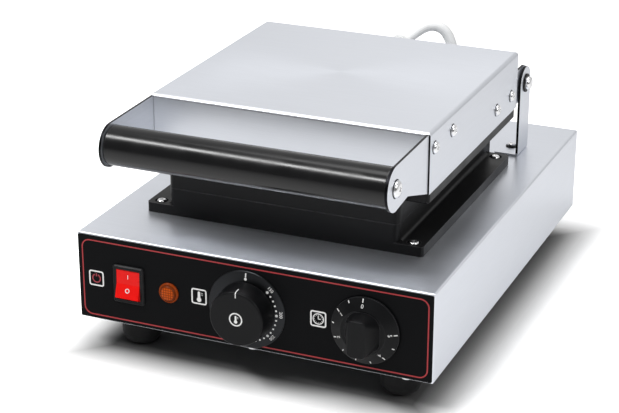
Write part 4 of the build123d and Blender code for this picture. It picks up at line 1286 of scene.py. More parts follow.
@dataclass(frozen=True)
class CrossHead:
    """Pan or truss screw head with a cross recess. All but its size are shares of that size."""

    radius: float
    height: float
    foot: float = 0.97
    edge: float = 0.22
    flat: float = 0.60
    arm: float = 0.44
    arm_width: float = 0.20
    depth: float = 0.62
    taper: float = 0.62
    steps: int = 6
    sides: int = 24

    def mesh(self) -> bpy.types.Mesh:
        """Makes one head, standing along +Z on its seat.

        Returns:
            Its mesh.
        """
        pattern, seat = Pattern(), Face.ground()
        profile = [(self.foot, 0.0), (1.0, self.edge)]
        for i in range(1, self.steps + 1):
            t = i / self.steps * math.pi / 2
            r = self.flat + (1.0 - self.flat) * math.cos(t)
            profile.append((r, self.edge + (1.0 - self.edge) * math.sin(t)))
        rings = [pattern.ring(seat, circle(self.radius * r, self.sides), self.height * w) for r, w in profile]
        for a, b in zip(rings, rings[1:]):
            pattern.wall(a, b)
        pattern.mesh.faces.new(rings[0][::-1])
        mouth = pattern.ring(seat, self._cross(1.0), self.height)
        floor = pattern.ring(seat, self._cross(self.taper), self.height * (1.0 - self.depth))
        pattern.wall(floor, mouth)
        pattern.mesh.faces.new(floor)
        rims = (rings[-1], mouth)
        edges = [pattern.mesh.edges.get((a[i], a[(i + 1) % len(a)])) for a in rims for i in range(len(a))]
        bmesh.ops.triangle_fill(pattern.mesh, use_beauty=True, edges=edges)
        return pattern.data("cross_head", smooth_under=40.0)

    def _cross(self, share: float) -> list[Flat]:
        """Draws the recess.

        Args:
            share: How much of its full size.

        Returns:
            Its outline, anticlockwise.
        """
        a, b = self.arm * self.radius * share, self.arm_width * self.radius / 2 * share
        corner = [(a, -b), (a, b), (b, b)]
        points: list[Flat] = []
        for k in range(4):
            c, s = round(math.cos(k * math.pi / 2)), round(math.sin(k * math.pi / 2))
            points += [(x * c - y * s, x * s + y * c) for x, y in corner]
        return points


def screws(name: str, head: CrossHead, seats: Seats, body: Body, replaces: Sequence[str], seed: int,
           ring: Flat = (1.10, 0.12)) -> None:
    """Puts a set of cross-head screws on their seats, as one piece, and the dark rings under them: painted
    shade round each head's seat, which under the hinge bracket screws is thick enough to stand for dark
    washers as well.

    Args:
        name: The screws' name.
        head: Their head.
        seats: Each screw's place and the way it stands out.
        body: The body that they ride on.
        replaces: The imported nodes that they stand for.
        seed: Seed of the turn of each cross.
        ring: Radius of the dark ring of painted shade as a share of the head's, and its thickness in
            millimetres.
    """
    radius, thick = head.radius * ring[0], ring[1] * MM
    # Painted shade: a thin dark ring under each head, where it meets its seat.
    shade_ring = Pattern().prism(Face.ground(), circle(radius, count=28), 0.0, thick).data("seat_shade_ring")
    rings = Repeats.bake(name + "_rings", Repeats.on_seats(), seat_mesh(seats), shade_ring, Finish.DARK_WASHER,
                         Size=1.0, Spin=0.0, Seed=seed)
    show(name + "_rings", rings, Finish.DARK_WASHER, body)
    raised = [(place + out * thick, out) for place, out in seats]
    mesh = Repeats.bake(name, Repeats.on_seats(), seat_mesh(raised), head.mesh(), Finish.FASTENERS,
                        Size=1.0, Spin=math.pi / 2, Seed=seed)
    show(name, mesh, Finish.FASTENERS, body, replaces)


# The machine


class SubAssembly:
    """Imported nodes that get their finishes, and pieces that are built over them."""

    finishes: dict[Finish, tuple[str, ...]] = {}

    def dress(self, nodes: dict[str, bpy.types.Object]) -> None:
        """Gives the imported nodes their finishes.

        Args:
            nodes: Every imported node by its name.
        """
        for finish, names in self.finishes.items():
            for name in names:
                nodes[name].data.materials.clear()
                nodes[name].data.materials.append(finish.material)

    def build(self) -> None:
        """Makes the sub-assembly's own pieces."""


@dataclass
class Conduit(SubAssembly):
    """Sleeved leads from the lid to the base."""

    radius: float = 4.75 * MM
    length: float = 0.173
    rings: int = 180
    sides: int = 32
    route: tuple[Point, ...] = (
        (0.005, 0.09465, 0.182), (0.005, 0.11865, 0.182), (0.012, 0.13405, 0.189), (0.022, 0.14205, 0.1945),
        (0.033, 0.14605, 0.1915), (0.040, 0.14805, 0.179), (0.043, 0.14905, 0.158), (0.044, 0.15005, 0.133),
        (0.044, 0.15005, 0.087),
    )
    exit: Point = (0.005, 0.11365, 0.182)
    bend_from: Point = (0.044, 0.180, 0.160)
    bend_to: Point = (0.005, 0.1187, 0.190)

    def line(self) -> list[Vector]:
        """Reads points from the route's NURBS spline.

        Returns:
            The points, close together but at uneven steps.
        """
        curve = bpy.data.curves.new("conduit_route", "CURVE")
        curve.dimensions = "3D"
        spline = curve.splines.new("NURBS")
        spline.points.add(len(self.route) - 1)
        for point, place in zip(spline.points, self.route):
            point.co = (*place, 1.0)
        spline.order_u = 3
        spline.use_endpoint_u = True
        spline.resolution_u = 40
        flat = plain_mesh(curve)
        points = [v.co.copy() for v in flat.vertices]
        bpy.data.meshes.remove(flat)
        return points

    def spaced(self, points: list[Vector]) -> list[Vector]:
        """Reads the same line at even steps.

        Args:
            points: The line.

        Returns:
            One point for each ring of the tube.
        """
        reach = [0.0]
        for a, b in zip(points, points[1:]):
            reach.append(reach[-1] + (b - a).length)
        out, k = [], 0
        for i in range(self.rings):
            want = reach[-1] * i / (self.rings - 1)
            while k < len(points) - 2 and reach[k + 1] < want:
                k += 1
            out.append(points[k].lerp(points[k + 1], (want - reach[k]) / (reach[k + 1] - reach[k])))
        return out

    def tube(self, centres: list[Vector]) -> bpy.types.Mesh:
        """Sweeps the sleeve along its line.

        Args:
            centres: The line.

        Returns:
            The closed tube, with a UV map that runs round and along it.
        """
        tube = bmesh.new()
        weave = tube.loops.layers.uv.new("weave")
        side = X_AXIS.copy()
        rings = []
        for i, centre in enumerate(centres):
            ahead = centres[min(i + 1, len(centres) - 1)] - centres[max(i - 1, 0)]
            ahead.normalize()
            side = (side - ahead * side.dot(ahead)).normalized()
            other = ahead.cross(side)
            spokes = [side * c + other * s for c, s in circle(1.0, self.sides)]
            rings.append([tube.verts.new(centre + spoke * self.radius) for spoke in spokes])
        for i in range(len(rings) - 1):
            for j in range(self.sides):
                k = (j + 1) % self.sides
                f = tube.faces.new((rings[i][j], rings[i][k], rings[i + 1][k], rings[i + 1][j]))
                f.smooth = True
                corners = ((j, i), (j + 1, i), (j + 1, i + 1), (j, i + 1))
                for loop, (across, along) in zip(f.loops, corners):
                    loop[weave].uv = (across / self.sides, along / (len(rings) - 1))
        tube.faces.new(rings[0][::-1])
        tube.faces.new(rings[-1])
        bmesh.ops.recalc_face_normals(tube, faces=tube.faces)
        mesh = bpy.data.meshes.new("lid_conduit_sleeve")
        tube.to_mesh(mesh)
        tube.free()
        return mesh

    def build(self) -> None:
        """Makes the sleeve along its route."""
        centres = self.spaced(self.line())
        mesh = self.tube(centres)
        mesh.materials.append(Finish.SLEEVE.material)
        piece = bpy.data.objects.new("lid_conduit_sleeve", mesh)
        bpy.context.scene.collection.objects.link(piece)
        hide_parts("lid_conduit")
        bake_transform(piece)


@dataclass
class Housing(SubAssembly):
    """Sheet-steel base: shell, back panel, bottom plate, feet and their screws. Places in millimetres."""

    finishes = {
        Finish.STAINLESS: ("base_shell", "back_panel"),
        Finish.ZINC_SHEET: ("bottom_plate",),
        Finish.RUBBER: (
            "foot_front_left", "foot_front_right", "foot_rear_left", "foot_rear_right", "conduit_grommet",
        ),
        Finish.FASTENERS: ("foot_bolts", "bottom_screws", "back_panel_screws"),
        Finish.GLAND_PLASTIC: ("mains_gland", "mains_gland_nut"),
    }
    screw: CrossHead = CrossHead(4.7 * MM, 2.4 * MM)
    back: float = 374.0
    back_places: tuple[Flat, ...] = ((-137.0, -57.0), (-137.0, -12.0), (137.0, -57.0), (137.0, -12.0))
    underside: float = -71.0
    bottom_places: tuple[Flat, ...] = (
        (-123.0, 6.0), (0.0, 6.0), (123.0, 6.0), (-137.0, 183.75), (-137.0, 314.0), (137.0, 183.75),
        (137.0, 314.0),
    )

    def build(self) -> None:
        """Puts cross-head screws on the back panel and under the base."""
        datum = Datum.read()
        seats = [(datum.at(x, self.back, rise), Y_AXIS) for x, rise in self.back_places]
        screws("back_panel_screw_heads", self.screw, seats, Body.BASE, ("back_panel_screws",), seed=11)
        seats = [(datum.at(x, setback, self.underside), -Z_AXIS) for x, setback in self.bottom_places]
        screws("bottom_screw_heads", self.screw, seats, Body.BASE, ("bottom_screws",), seed=12)


@dataclass(frozen=True)
class PowerSign:
    """Broken ring with a stroke in its gap, in millimetres."""

    radius: float = 3.3
    line: float = 1.0
    gap: float = 48.0
    stroke: Flat = (1.6, 4.2)
    stroke_width: float = 0.9

    def draw(self, pattern: Pattern, spot: Face, depth: Flat) -> None:
        """Draws the sign.

        Args:
            pattern: The mesh to draw in.
            spot: The face about its centre.
            depth: Lower and upper height of the print.
        """
        gap = math.radians(self.gap)
        start = math.pi / 2 + gap / 2
        pattern.arc(spot, self.radius * MM, self.line * MM, start, math.tau - gap, *depth)
        foot, head = self.stroke
        pattern.bar(spot, (0.0, foot * MM), (0.0, head * MM), self.stroke_width * MM, *depth)


@dataclass(frozen=True)
class ClockSign:
    """Clock face with hour strokes and two hands, in millimetres."""

    rim: Flat = (4.5, 3.75)
    hours: Flat = (2.9, 3.4)
    hour_width: float = 0.45
    tail: float = -0.3
    long_hand: float = 2.6
    short_hand: float = 1.9
    hand_width: float = 0.7

    def draw(self, pattern: Pattern, spot: Face, depth: Flat) -> None:
        """Draws the sign.

        Args:
            pattern: The mesh to draw in.
            spot: The face about its centre.
            depth: Lower and upper height of the print.
        """
        outer, inner = (circle(r * MM, count=40) for r in self.rim)
        pattern.band(spot, outer, inner, *depth)
        hours = 12
        for k in range(hours):
            a = k * math.tau / hours
            start, end = ((r * MM * math.cos(a), r * MM * math.sin(a)) for r in self.hours)
            pattern.bar(spot, start, end, self.hour_width * MM, *depth)
        width, tail = self.hand_width * MM, self.tail * MM
        pattern.bar(spot, (0.0, tail), (0.0, self.long_hand * MM), width, *depth)
        pattern.bar(spot, (tail, 0.0), (self.short_hand * MM, 0.0), width, *depth)


@dataclass(frozen=True)
class ThermometerSign:
    """Stem on a bulb, with two scale strokes, in millimetres."""

    stem: float = 1.05
    stem_foot: float = -1.4
    stem_head: float = 3.2
    bulb: float = 1.9
    bulb_drop: float = 2.5
    bulb_start: float = 124.0
    strokes: tuple[float, ...] = (1.6, 3.0)
    stroke: Flat = (2.0, 3.0)
    stroke_width: float = 0.45

    def draw(self, pattern: Pattern, spot: Face, depth: Flat, share: float = 1.0) -> None:
        """Draws the sign.

        Args:
            pattern: The mesh to draw in.
            spot: The face about its centre.
            depth: Lower and upper height of the print.
            share: How large, as a share of its full size.
        """
        unit = MM * share
        outline = [(self.stem * unit, self.stem_foot * unit)]
        outline += [(x, y + self.stem_head * unit) for x, y in circle(self.stem * unit, 9, 0.0, math.pi)]
        start = math.radians(self.bulb_start)
        sweep = math.tau - 2 * (start - math.pi / 2)
        outline += [(x, y - self.bulb_drop * unit) for x, y in circle(self.bulb * unit, 17, start, sweep)]
        pattern.prism(spot, outline, *depth)
        left, right = self.stroke
        for rise in self.strokes:
            ends = (left * unit, rise * unit), (right * unit, rise * unit)
            pattern.bar(spot, *ends, self.stroke_width * unit, *depth)


@dataclass
class PanelPiece(SubAssembly):
    """A piece on the control panel. Sizes are in millimetres, places from the middle and the top."""

    lift: float = 0.02
    print_depth: float = 0.10
    film: float = 0.5

    def face(self, x: float = 0.0, rise: float = 0.0) -> Face:
        """The film's face about a point."""
        return Face(Datum.read().at(x, -self.film, rise))

    @property
    def depth(self) -> Flat:
        """Lower and upper height of a print over its face."""
        return self.lift * MM, (self.lift + self.print_depth) * MM

    @staticmethod
    def marks_round(name: str, unit: bpy.types.Mesh, centre: Face, body: Body,
                    count: int, first: float, step: float, reach: float) -> None:
        """Repeats a white mark round a dial.

        Args:
            name: The piece's name.
            unit: The mark, from Cone.unit_face.
            centre: The face about the dial's axis.
            body: The body that the marks ride on.
            count: How many marks.
            first: The first one's angle in degrees.
            step: Degrees from one to the next.
            reach: Their distance from the axis, in millimetres.
        """
        mesh = Repeats.bake(name, Repeats.round_dial(), bpy.data.meshes.new("none"), unit, Finish.WHITE_INK,
                            Count=count, First=math.radians(first), Step=math.radians(step),
                            Radius=reach * MM, Centre=tuple(centre.origin))
        show(name, mesh, Finish.WHITE_INK, body)


@dataclass
class PanelFilm(PanelPiece):
    """Printed film: a red line round it and three framed signs."""

    finishes = {Finish.OVERLAY: ("control_overlay",)}
    border_low: Flat = (-141.3, -68.1)
    border_high: Flat = (141.3, -4.8)
    border_corner: float = 7.0
    border_width: float = 1.00
    sign_size: float = 12.8
    sign_corner: float = 2.0
    sign_line: float = 1.15
    power: Flat = (-129.5, -36.65)
    thermometer: Flat = (-41.65, -36.0)
    clock: Flat = (55.55, -36.0)

    def build(self) -> None:
        """Prints the border and the signs."""
        self.border()
        white, red = Pattern(), Pattern()
        for place in (self.power, self.thermometer, self.clock):
            self.frame(white, self.face(*place))
        PowerSign().draw(red, self.face(*self.power), self.depth)
        ThermometerSign().draw(white, self.face(*self.thermometer), self.depth)
        ClockSign().draw(white, self.face(*self.clock), self.depth)
        show("panel_signs", white.data("panel_signs"), Finish.WHITE_INK, Body.BASE)
        show("power_sign", red.data("power_sign"), Finish.DULL_RED_INK, Body.BASE)

    def border(self) -> None:
        """Prints the red line round the panel."""
        (x0, z0), (x1, z1) = self.border_low, self.border_high
        width, height, line = (x1 - x0) * MM, (z1 - z0) * MM, self.border_width * MM
        corner = self.border_corner * MM
        outer = rounded_box(width, height, corner, steps=10)
        inner = rounded_box(width - 2 * line, height - 2 * line, corner - line, steps=10)
        pattern = Pattern().band(self.face((x0 + x1) / 2, (z0 + z1) / 2), outer, inner, *self.depth)
        show("panel_border", pattern.data("panel_border"), Finish.RED_INK, Body.BASE)

    def frame(self, pattern: Pattern, spot: Face) -> None:
        """Prints the square round a sign.

        Args:
            pattern: The mesh to draw in.
            spot: The face about the sign's centre.
        """
        size, line, corner = self.sign_size * MM, self.sign_line * MM, self.sign_corner * MM
        inner = rounded_box(size - 2 * line, size - 2 * line, corner - line)
        pattern.band(spot, rounded_box(size, size, corner), inner, *self.depth)


@dataclass
class RockerSwitch(PanelPiece):
    """Red rocker in its frame, with white marks."""

    finishes = {Finish.CONTROL_PLASTIC: ("switch_body",), Finish.ROCKER_RED: ("switch_rocker",)}
    place: Flat = (-101.0, -36.9)
    pivot: float = 1.3
    front: float = 3.5
    half_height: float = 11.04
    rise: float = 1.6
    tilt: float = 10.0
    on_mark: Flat = (4.6, 7.9)
    on_width: float = 0.50
    off_drop: float = 4.8
    off_rim: Flat = (1.85, 1.25)

    def rocker_face(self, upper: bool) -> Face:
        """Finds one of the rocker's two faces.

        Args:
            upper: Whether it is the upper one.

        Returns:
            The face about its root at the pivot's height.
        """
        x, drop = self.place
        pivot = Datum.read().at(x, self.pivot - self.film, drop)
        tilt = math.radians(self.tilt)
        lean = math.atan2(self.rise, self.half_height) * (1 if upper else -1) - tilt
        root = pivot + Matrix.Rotation(-tilt, 3, "X") @ Vector((0.0, -self.front * MM, 0.0))
        return Face(root, X_AXIS, Vector((0.0, -math.sin(lean), math.cos(lean))))

    def build(self) -> None:
        """Marks the rocker with a stroke above and a ring below."""
        marks, depth = Pattern(), (0.0, self.print_depth * MM)
        foot, head = self.on_mark
        stroke = (0.0, foot * MM), (0.0, head * MM)
        marks.bar(self.rocker_face(True), *stroke, self.on_width * MM, *depth)
        spot = self.rocker_face(False).turned(0.0, 0.0, -self.off_drop * MM)
        outer, inner = (circle(r * MM, count=28) for r in self.off_rim)
        marks.band(spot, outer, inner, *depth)
        show("rocker_marks", marks.data("rocker_marks"), Finish.WHITE_INK, Body.ROCKER)


@dataclass
class PilotLight(PanelPiece):
    """Amber lens: a flanged rim with a notch, and a shallow dome over the lamp."""

    finishes = {Finish.CONTROL_PLASTIC: ("pilot_body",), Finish.PILOT_AMBER: ("pilot_lens",)}
    place: Flat = (-67.0, -37.4)
    profile: tuple[Flat, ...] = (
        (0.0, 0.0), (8.1, 0.0), (8.1, 1.0), (7.7, 1.5), (7.0, 1.6), (6.8, 1.3), (6.4, 1.3), (6.2, 2.2),
        (5.6, 2.9), (5.0, 3.2), (0.0, 3.35),
    )

    def build(self) -> None:
        """Turns the lens."""
        lens = Pattern().lathe(self.face(*self.place), [(r * MM, w * MM) for r, w in self.profile])
        show("pilot_lens_dome", lens.data("pilot_lens_dome", smooth_under=30.0), Finish.PILOT_AMBER,
             Body.BASE, ("pilot_lens",))


@dataclass
class TemperatureDial(PanelPiece):
    """Sloping metal ring with its numbers and dots, and the knob with its pointer."""

    finishes = {
        Finish.CONTROL_PLASTIC: ("temperature_knob",),
        Finish.CONTROL_METAL: ("thermostat_body",),
        Finish.PLATED_STEEL: ("thermostat_shaft",),
    }
    place: Flat = (-2.1, -39.0)
    ring: tuple[Flat, ...] = (
        (20.6, 0.0), (31.3, 0.0), (31.3, 0.45), (30.8, 0.85), (21.6, 2.55), (20.6, 2.55), (20.6, 0.0),
    )
    cone: Cone = Cone((30.8, 0.85), (21.6, 2.55))
    numbers: tuple[tuple[str, float], ...] = (("150", 45.0), ("200", 2.0), ("250", -42.0))
    number_reach: float = 28.2
    number_size: float = 3.5
    stop_mark: float = 1.6
    stop_width: float = 0.9
    stop_dot: Flat = (25.3, 1.1)
    dot_reach: float = 25.0
    large_dots: tuple[float, ...] = (45.0, 0.0, -45.0)
    large_dot: float = 1.05
    dot: float = 0.72
    dot_step: float = 9.0
    dot_rows: tuple[tuple[str, int, float], ...] = (
        ("temperature_dots", 15, -81.0), ("temperature_far_dot", 1, 171.0),
    )
    pointer_width: float = 0.75
    pointer: Flat = (17.4, 20.3)
    knob_rim: Flat = (21.16, -0.44)
    rim_reach: float = 0.9
    knob_side: Flat = (21.8, -1.8)
    side_pointer: Flat = (-0.5, 4.0)
    side_slope: Flat = (1.4, 16.5)
    sign_rim: Flat = (5.4, 4.4)
    sign_share: float = 0.72

    def build(self) -> None:
        """Makes the ring and every mark of the dial and the knob."""
        foot = self.face(*self.place)
        ring = Pattern().lathe(foot, [(r * MM, w * MM) for r, w in self.ring], count=96)
        show("temperature_ring", ring.data("temperature_ring", smooth_under=25.0), Finish.DIAL_METAL,
             Body.BASE, ("dial_ring",))
        self.scale(foot)
        self.knob_marks(foot)

    def scale(self, foot: Face) -> None:
        """Prints the numbers and dots on the ring.

        Args:
            foot: The film's face about the dial's axis.
        """
        marks, top = Pattern(), 90.0
        for words, angle in self.numbers:
            spot = self.cone.spot(foot, angle, self.number_reach)
            marks.text(spot, words, self.number_size * MM, *self.depth)
        spot, half = self.cone.spot(foot, top, self.number_reach), self.stop_mark * MM
        marks.bar(spot, (0.0, -half), (0.0, half), self.stop_width * MM, *self.depth)
        reach, radius = self.stop_dot
        marks.prism(self.cone.spot(foot, top, reach), circle(radius * MM, count=20), *self.depth)
        for angle in self.large_dots:
            spot = self.cone.spot(foot, angle, self.dot_reach)
            marks.prism(spot, circle(self.large_dot * MM, count=18), *self.depth)
        show("temperature_numbers", marks.data("temperature_numbers"), Finish.WHITE_INK, Body.BASE)
        flat = self.cone.unit_face(self.dot_reach)
        for name, count, first in self.dot_rows:
            dot = Pattern().prism(flat, circle(self.dot * MM, count=14), *self.depth).data("dot")
            self.marks_round(name, dot, foot, Body.BASE, count, first, self.dot_step, self.dot_reach)

    def knob_marks(self, foot: Face) -> None:
        """Draws the pointer over the knob's top, rim and side, and the sign on its top.

        Args:
            foot: The film's face about the dial's axis.
        """
        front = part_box("temperature_knob")[0].y
        top = Face(Vector((foot.origin.x, front, foot.origin.z)))
        marks, width, half = Pattern(), self.pointer_width * MM, math.sqrt(0.5)
        start, end = self.pointer
        marks.bar(top, (0.0, start * MM), (0.0, end * MM), width, *self.depth)
        reach, out = self.knob_rim
        rim = Face(top.at(0.0, reach * MM, out * MM), X_AXIS, Vector((0.0, half, half)))
        marks.bar(rim, (0.0, -self.rim_reach * MM), (0.0, self.rim_reach * MM), width, *self.depth)
        reach, out = self.knob_side
        lean = math.atan2(*self.side_slope)
        side = Face(top.at(0.0, reach * MM, out * MM), X_AXIS, Vector((0.0, math.cos(lean), math.sin(lean))))
        start, end = self.side_pointer
        marks.bar(side, (0.0, start * MM), (0.0, end * MM), width, *self.depth)
        outer, inner = (circle(r * MM, count=40) for r in self.sign_rim)
        marks.band(top, outer, inner, *self.depth)
        ThermometerSign().draw(marks, top, self.depth, self.sign_share)
        show("temperature_knob_marks", marks.data("temperature_knob_marks"), Finish.WHITE_INK,
             Body.TEMPERATURE)


@dataclass
class TimerDial(PanelPiece):
    """Timer knob with numbers, long lines and half ticks on its sloping skirt."""

    finishes = {
        Finish.CONTROL_PLASTIC: ("timer_knob", "timer_body"),
        Finish.PLATED_STEEL: ("timer_shaft",),
    }
    place: Flat = (93.0, -37.3)
    skirt: Cone = Cone((26.5, 2.2), (17.5, 6.8))
    turn: float = 3.0
    step: float = 54.0
    numbers: int = 6
    number_reach: float = 20.4
    number_size: float = 4.4
    line_width: float = 0.75
    rows: tuple[tuple[str, float, int, float, float], ...] = (
        ("timer_lines", 2.9, 6, 90.0, 24.3), ("timer_ticks", 2.0, 5, 117.0, 24.6),
    )

    def build(self) -> None:
        """Makes every mark of the timer."""
        foot, marks = self.face(*self.place), Pattern()
        for k in range(self.numbers):
            spot = self.skirt.spot(foot, 90.0 + self.turn + self.step * k, self.number_reach)
            marks.text(spot, str(k), self.number_size * MM, *self.depth)
        show("timer_numbers", marks.data("timer_numbers"), Finish.WHITE_INK, Body.TIMER)
        for name, length, count, first, reach in self.rows:
            half = length / 2 * MM
            tick = Pattern().bar(self.skirt.unit_face(reach), (0.0, -half), (0.0, half),
                                 self.line_width * MM, *self.depth).data("tick")
            self.marks_round(name, tick, foot, Body.TIMER, count, first + self.turn, self.step, reach)


@dataclass
class Castings(SubAssembly):
    """The two coated waffle castings, their heaters and clamps. Places are in millimetres."""

    finishes = {
        Finish.CASTING: ("lower_casting", "upper_casting"),
        Finish.HEATER_STEEL: ("lower_heater", "upper_heater"),
        Finish.PLATED_STEEL: ("lower_heater_clamp", "upper_heater_clamp", "lower_heat_shield"),
        Finish.FIBRE_BOARD: ("lower_insulation", "lid_insulation"),
        Finish.FASTENERS: (
            "lower_clamp_screws", "upper_clamp_screws", "lower_casting_screws", "lid_mount_screws",
        ),
        Finish.CERAMIC: ("terminal_block",),
    }
    screw: CrossHead = CrossHead(3.8 * MM, 2.3 * MM)
    # Dark ring of painted shade under each screw head.
    ring: Flat = (1.36, 0.2)
    side: float = 105.2
    setbacks: Flat = (64.0, 261.3)
    rise: float = 6.5

    def build(self) -> None:
        """Puts a cross-head screw on each corner of the lower casting's flange."""
        datum = Datum.read()
        places = [(x, setback) for x in (-self.side, self.side) for setback in self.setbacks]
        seats = [(datum.at(x, setback, self.rise), Z_AXIS) for x, setback in places]
        screws("casting_screw_heads", self.screw, seats, Body.BASE, ("lower_casting_screws",), seed=21,
               ring=self.ring)


@dataclass
class Lid(SubAssembly):
    """Lid shell with its side plates, screws and lead gland. Places are in millimetres."""

    finishes = {
        Finish.LID_SHEET: ("lid_shell",),
        Finish.PLATES: ("handle_bracket_left", "handle_bracket_right", "hinge_ear_left", "hinge_ear_right"),
        Finish.FASTENERS: ("lid_side_screws",),
        Finish.GLAND_PLASTIC: ("lid_conduit_gland", "lid_gland_nut"),
    }
    screw: CrossHead = CrossHead(4.75 * MM, 2.6 * MM)
    places: tuple[Flat, ...] = ((77.5, 80.0), (117.5, 80.0), (228.0, 61.0), (266.6, 61.0))

    def build(self) -> None:
        """Puts the side screws on both cheeks of the lid."""
        datum, cheek = Datum.read(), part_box("lid_shell")[1].x / MM
        seats = [
            (datum.at(side * cheek, setback, rise), X_AXIS * side)
            for side in (-1, 1)
            for setback, rise in self.places
        ]
        screws("lid_side_screw_heads", self.screw, seats, Body.LID, ("lid_side_screws",), seed=31)


@dataclass
class Handle(SubAssembly):
    """Round handle between the two side plates. Its screws' place is in millimetres."""

    finishes = {
        Finish.HANDLE_PLASTIC: ("handle_tube",),
        Finish.FASTENERS: ("handle_screws", "handle_rod"),
    }
    screw: CrossHead = CrossHead(6.5 * MM, 3.2 * MM, edge=0.15, flat=0.5, arm=0.36, arm_width=0.17)
    place: Point = (113.5, 0.5, 75.0)

    def build(self) -> None:
        """Puts the truss screws on the handle's ends."""
        datum, (x, setback, rise) = Datum.read(), self.place
        seats = [(datum.at(side * x, setback, rise), X_AXIS * side) for side in (-1, 1)]
        screws("handle_screw_heads", self.screw, seats, Body.LID, ("handle_screws",), seed=41)


@dataclass
class Hinges(SubAssembly):
    """Brackets on the base, with the bolts that the lid turns on. The screws' place is in millimetres."""

    finishes = {
        Finish.PLATES: ("hinge_bracket_left", "hinge_bracket_right"),
        Finish.FASTENERS: ("hinge_bolt_left", "hinge_bolt_right", "hinge_nuts", "hinge_bracket_screws"),
        Finish.DARK_WASHER: ("hinge_washers",),
        Finish.CERAMIC: ("hinge_shims",),
    }
    screw: CrossHead = CrossHead(3.3 * MM, 2.1 * MM)
    # Dark ring under each screw head: painted shade, thick enough to stand for dark washers too.
    ring: Flat = (1.39, 0.9)
    place: Point = (105.2, 306.4, 2.0)

    def build(self) -> None:
        """Puts the bracket screws on the brackets' feet."""
        datum, (x, setback, rise) = Datum.read(), self.place
        seats = [(datum.at(side * x, setback, rise), Z_AXIS) for side in (-1, 1)]
        screws("hinge_bracket_screw_heads", self.screw, seats, Body.BASE, ("hinge_bracket_screws",),
               seed=51, ring=self.ring)


# The studio


@dataclass(frozen=True)
class Lamp:
    """Soft rectangular lamp that looks at a point."""

    name: str
    place: Point
    target: Point
    size: Flat
    power: float

    def build(self) -> None:
        """Hangs the lamp."""
        data = bpy.data.lights.new(self.name, "AREA")
        data.shape = "RECTANGLE"
        data.size, data.size_y = self.size
        data.energy = self.power
        lamp = bpy.data.objects.new(self.name, data)
        bpy.context.scene.collection.objects.link(lamp)
        aim = Vector(self.target) - Vector(self.place)
        lamp.rotation_mode = "QUATERNION"
        lamp.rotation_quaternion = aim.to_track_quat("-Z", "Y")
        lamp.location = self.place


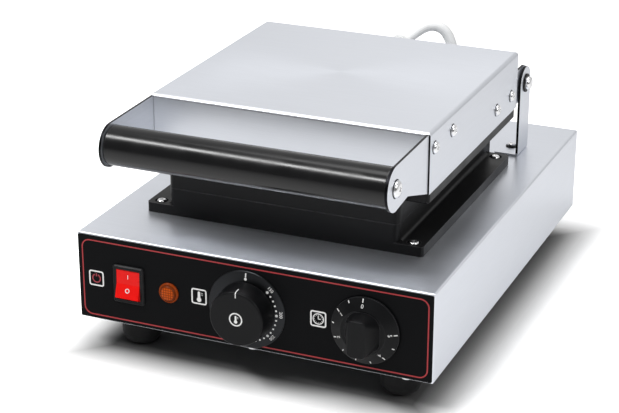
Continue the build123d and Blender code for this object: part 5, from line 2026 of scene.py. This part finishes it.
@dataclass
class Studio:
    """Camera, pale floor and soft lights."""

    camera_place: Point = (518.1, -1098.0, 538.1)
    azimuth: float = 23.17
    elevation: float = 22.17
    roll: float = 0.11
    sensor: float = 36.0
    lens: float = 104.96
    clip_end: float = 50.0
    world_level: float = 0.10
    world_span: Flat = (-0.35, 0.25)
    world_shown: Flat = (0.22, 0.69)
    floor_half: float = 4.0
    floor_white: float = 0.90
    floor_roughness: float = 0.9
    mirrored_span: Flat = (-0.85, -0.35)
    mirrored: Flat = (0.62, 1.02)
    contact_span: Flat = (-0.02, 0.036)
    contact: Flat = (0.14, 1.75)
    lamps: tuple[Lamp, ...] = (
        Lamp("key", (-0.73, -1.11, 1.79), (0.0, -0.18, 0.17), (1.6, 0.26), 33.0),
        Lamp("top", (0.1, 0.1, 2.2), (0.0, 0.0, 0.1), (1.6, 1.6), 22.0),
        Lamp("side", (1.60, -0.75, 1.30), (0.0, 0.0, 0.1), (0.8, 0.8), 11.0),
        Lamp("back", (-0.79, 2.29, 1.10), (0.05, 0.0, 0.19), (0.80, 1.20), 0.9),
    )

    def camera(self) -> None:
        """Sets the camera at the photograph's viewpoint."""
        az, el, roll = (math.radians(v) for v in (self.azimuth, self.elevation, self.roll))
        back = Vector((math.sin(az) * math.cos(el), -math.cos(az) * math.cos(el), math.sin(el)))
        right = Vector((math.cos(az), math.sin(az), 0.0))
        up = back.cross(right)
        c, s = math.cos(roll), math.sin(roll)
        right, up = right * c + up * s, up * c - right * s
        data = bpy.data.cameras.new("camera")
        data.sensor_width = self.sensor
        data.sensor_fit = "HORIZONTAL"
        data.lens = self.lens
        data.clip_end = self.clip_end
        camera = bpy.data.objects.new("camera", data)
        bpy.context.scene.collection.objects.link(camera)
        turn = Matrix((right, up, back)).transposed().to_4x4()
        camera.matrix_world = Matrix.Translation(Datum.read().at(*self.camera_place)) @ turn
        bpy.context.scene.camera = camera

    def world(self) -> None:
        """Makes even surroundings: white to the camera, and paler behind the machine in metal."""
        world = bpy.data.worlds.new("studio")
        bpy.context.scene.world = world
        world.use_nodes = True
        world.cycles.sampling_method = "NONE"
        wire = Wiring(world.node_tree)
        way = wire.parts(wire.add("ShaderNodeTexCoord").outputs["Generated"])
        shown = wire.remap(way["Y"], self.world_span, self.world_shown)
        path = wire.add("ShaderNodeLightPath").outputs
        through = wire.math("MAXIMUM", path["Is Glossy Ray"], path["Is Transmission Ray"])
        seen = wire.math("MAXIMUM", path["Is Camera Ray"], wire.math("MULTIPLY", through, shown))
        level = wire.math("MAXIMUM", seen, self.world_level)
        wire.feed(world.node_tree.nodes["Background"], Color=(1.0, 1.0, 1.0, 1.0), Strength=level)

    def floor(self) -> None:
        """Lays a white floor that takes the machine's shadow, with a painted shadow that darkens it near the
        base's footprint for the camera, and a painted darker reflection of the floor ahead.
        """
        half, white = self.floor_half, self.floor_white
        corners = [(-half, -half, 0.0), (half, -half, 0.0), (half, half, 0.0), (-half, half, 0.0)]
        mesh = bpy.data.meshes.new("floor")
        mesh.from_pydata(corners, [], [(0, 1, 2, 3)])
        floor = bpy.data.objects.new("floor", mesh)
        bpy.context.scene.collection.objects.link(floor)
        shader = Shader("floor_white", (white, white, white), self.floor_roughness)
        place, foot = shader.parts(shader.place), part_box("base_shell")[1]
        beyond = shader.math("MAXIMUM", *(
            shader.math("SUBTRACT", shader.math("ABSOLUTE", place[axis]), side)
            for axis, side in (("X", foot.x), ("Y", foot.y))
        ))
        path = shader.add("ShaderNodeLightPath").outputs
        through = shader.math("MAXIMUM", path["Is Glossy Ray"], path["Is Transmission Ray"])
        # Painted reflection: to glossy rays the floor ahead of the machine is darker, so the machine's fronts
        # reflect it dark.
        mirrored = shader.remap(place["Y"], self.mirrored_span, self.mirrored)
        mirrored = shader.math("MULTIPLY", mirrored, through)
        # Painted shadow: for the camera the floor is drawn dark at the base's footprint and white beyond it.
        contact = shader.remap(beyond, self.contact_span, self.contact)
        contact = shader.math("MULTIPLY", contact, path["Is Camera Ray"])
        shown = shader.math("ADD", mirrored, contact)
        rest = shader.math("MULTIPLY", shader.math("LESS_THAN", shown, 0.01), white)
        matt = shader.feed(shader.add("ShaderNodeBsdfDiffuse"), Color=shader.math("ADD", shown, rest))
        shader.join(matt.outputs["BSDF"], shader.output.inputs["Surface"])
        shader.tree.nodes.remove(shader.surface)
        mesh.materials.append(shader.material)

    def build(self) -> None:
        """Sets the whole studio."""
        bpy.context.scene.view_settings.view_transform = "Standard"
        self.camera()
        self.world()
        self.floor()
        for lamp in self.lamps:
            lamp.build()


def write_size() -> None:
    """Writes nothing: holds only a helper that turns a box into lists of numbers.
    """
    def plain(box: Sequence[Vector]) -> list[list[float]]:
        """A box as lists of numbers."""
        return [[float(c) for c in corner] for corner in box]


def main() -> None:
    """Builds the studio and every sub-assembly in order."""
    logging.basicConfig(level=logging.INFO, format="%(message)s")
    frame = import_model()
    nodes = frame["nodes"]
    Studio().build()
    LOG.info("studio set")
    for part in (
        Conduit(), Housing(), PanelFilm(), RockerSwitch(), PilotLight(), TemperatureDial(), TimerDial(),
        Castings(), Lid(), Handle(), Hinges(),
    ):
        part.dress(nodes)
        part.build()
        LOG.info("%s built", type(part).__name__)
    write_size()


if __name__ == "__main__":
    main()
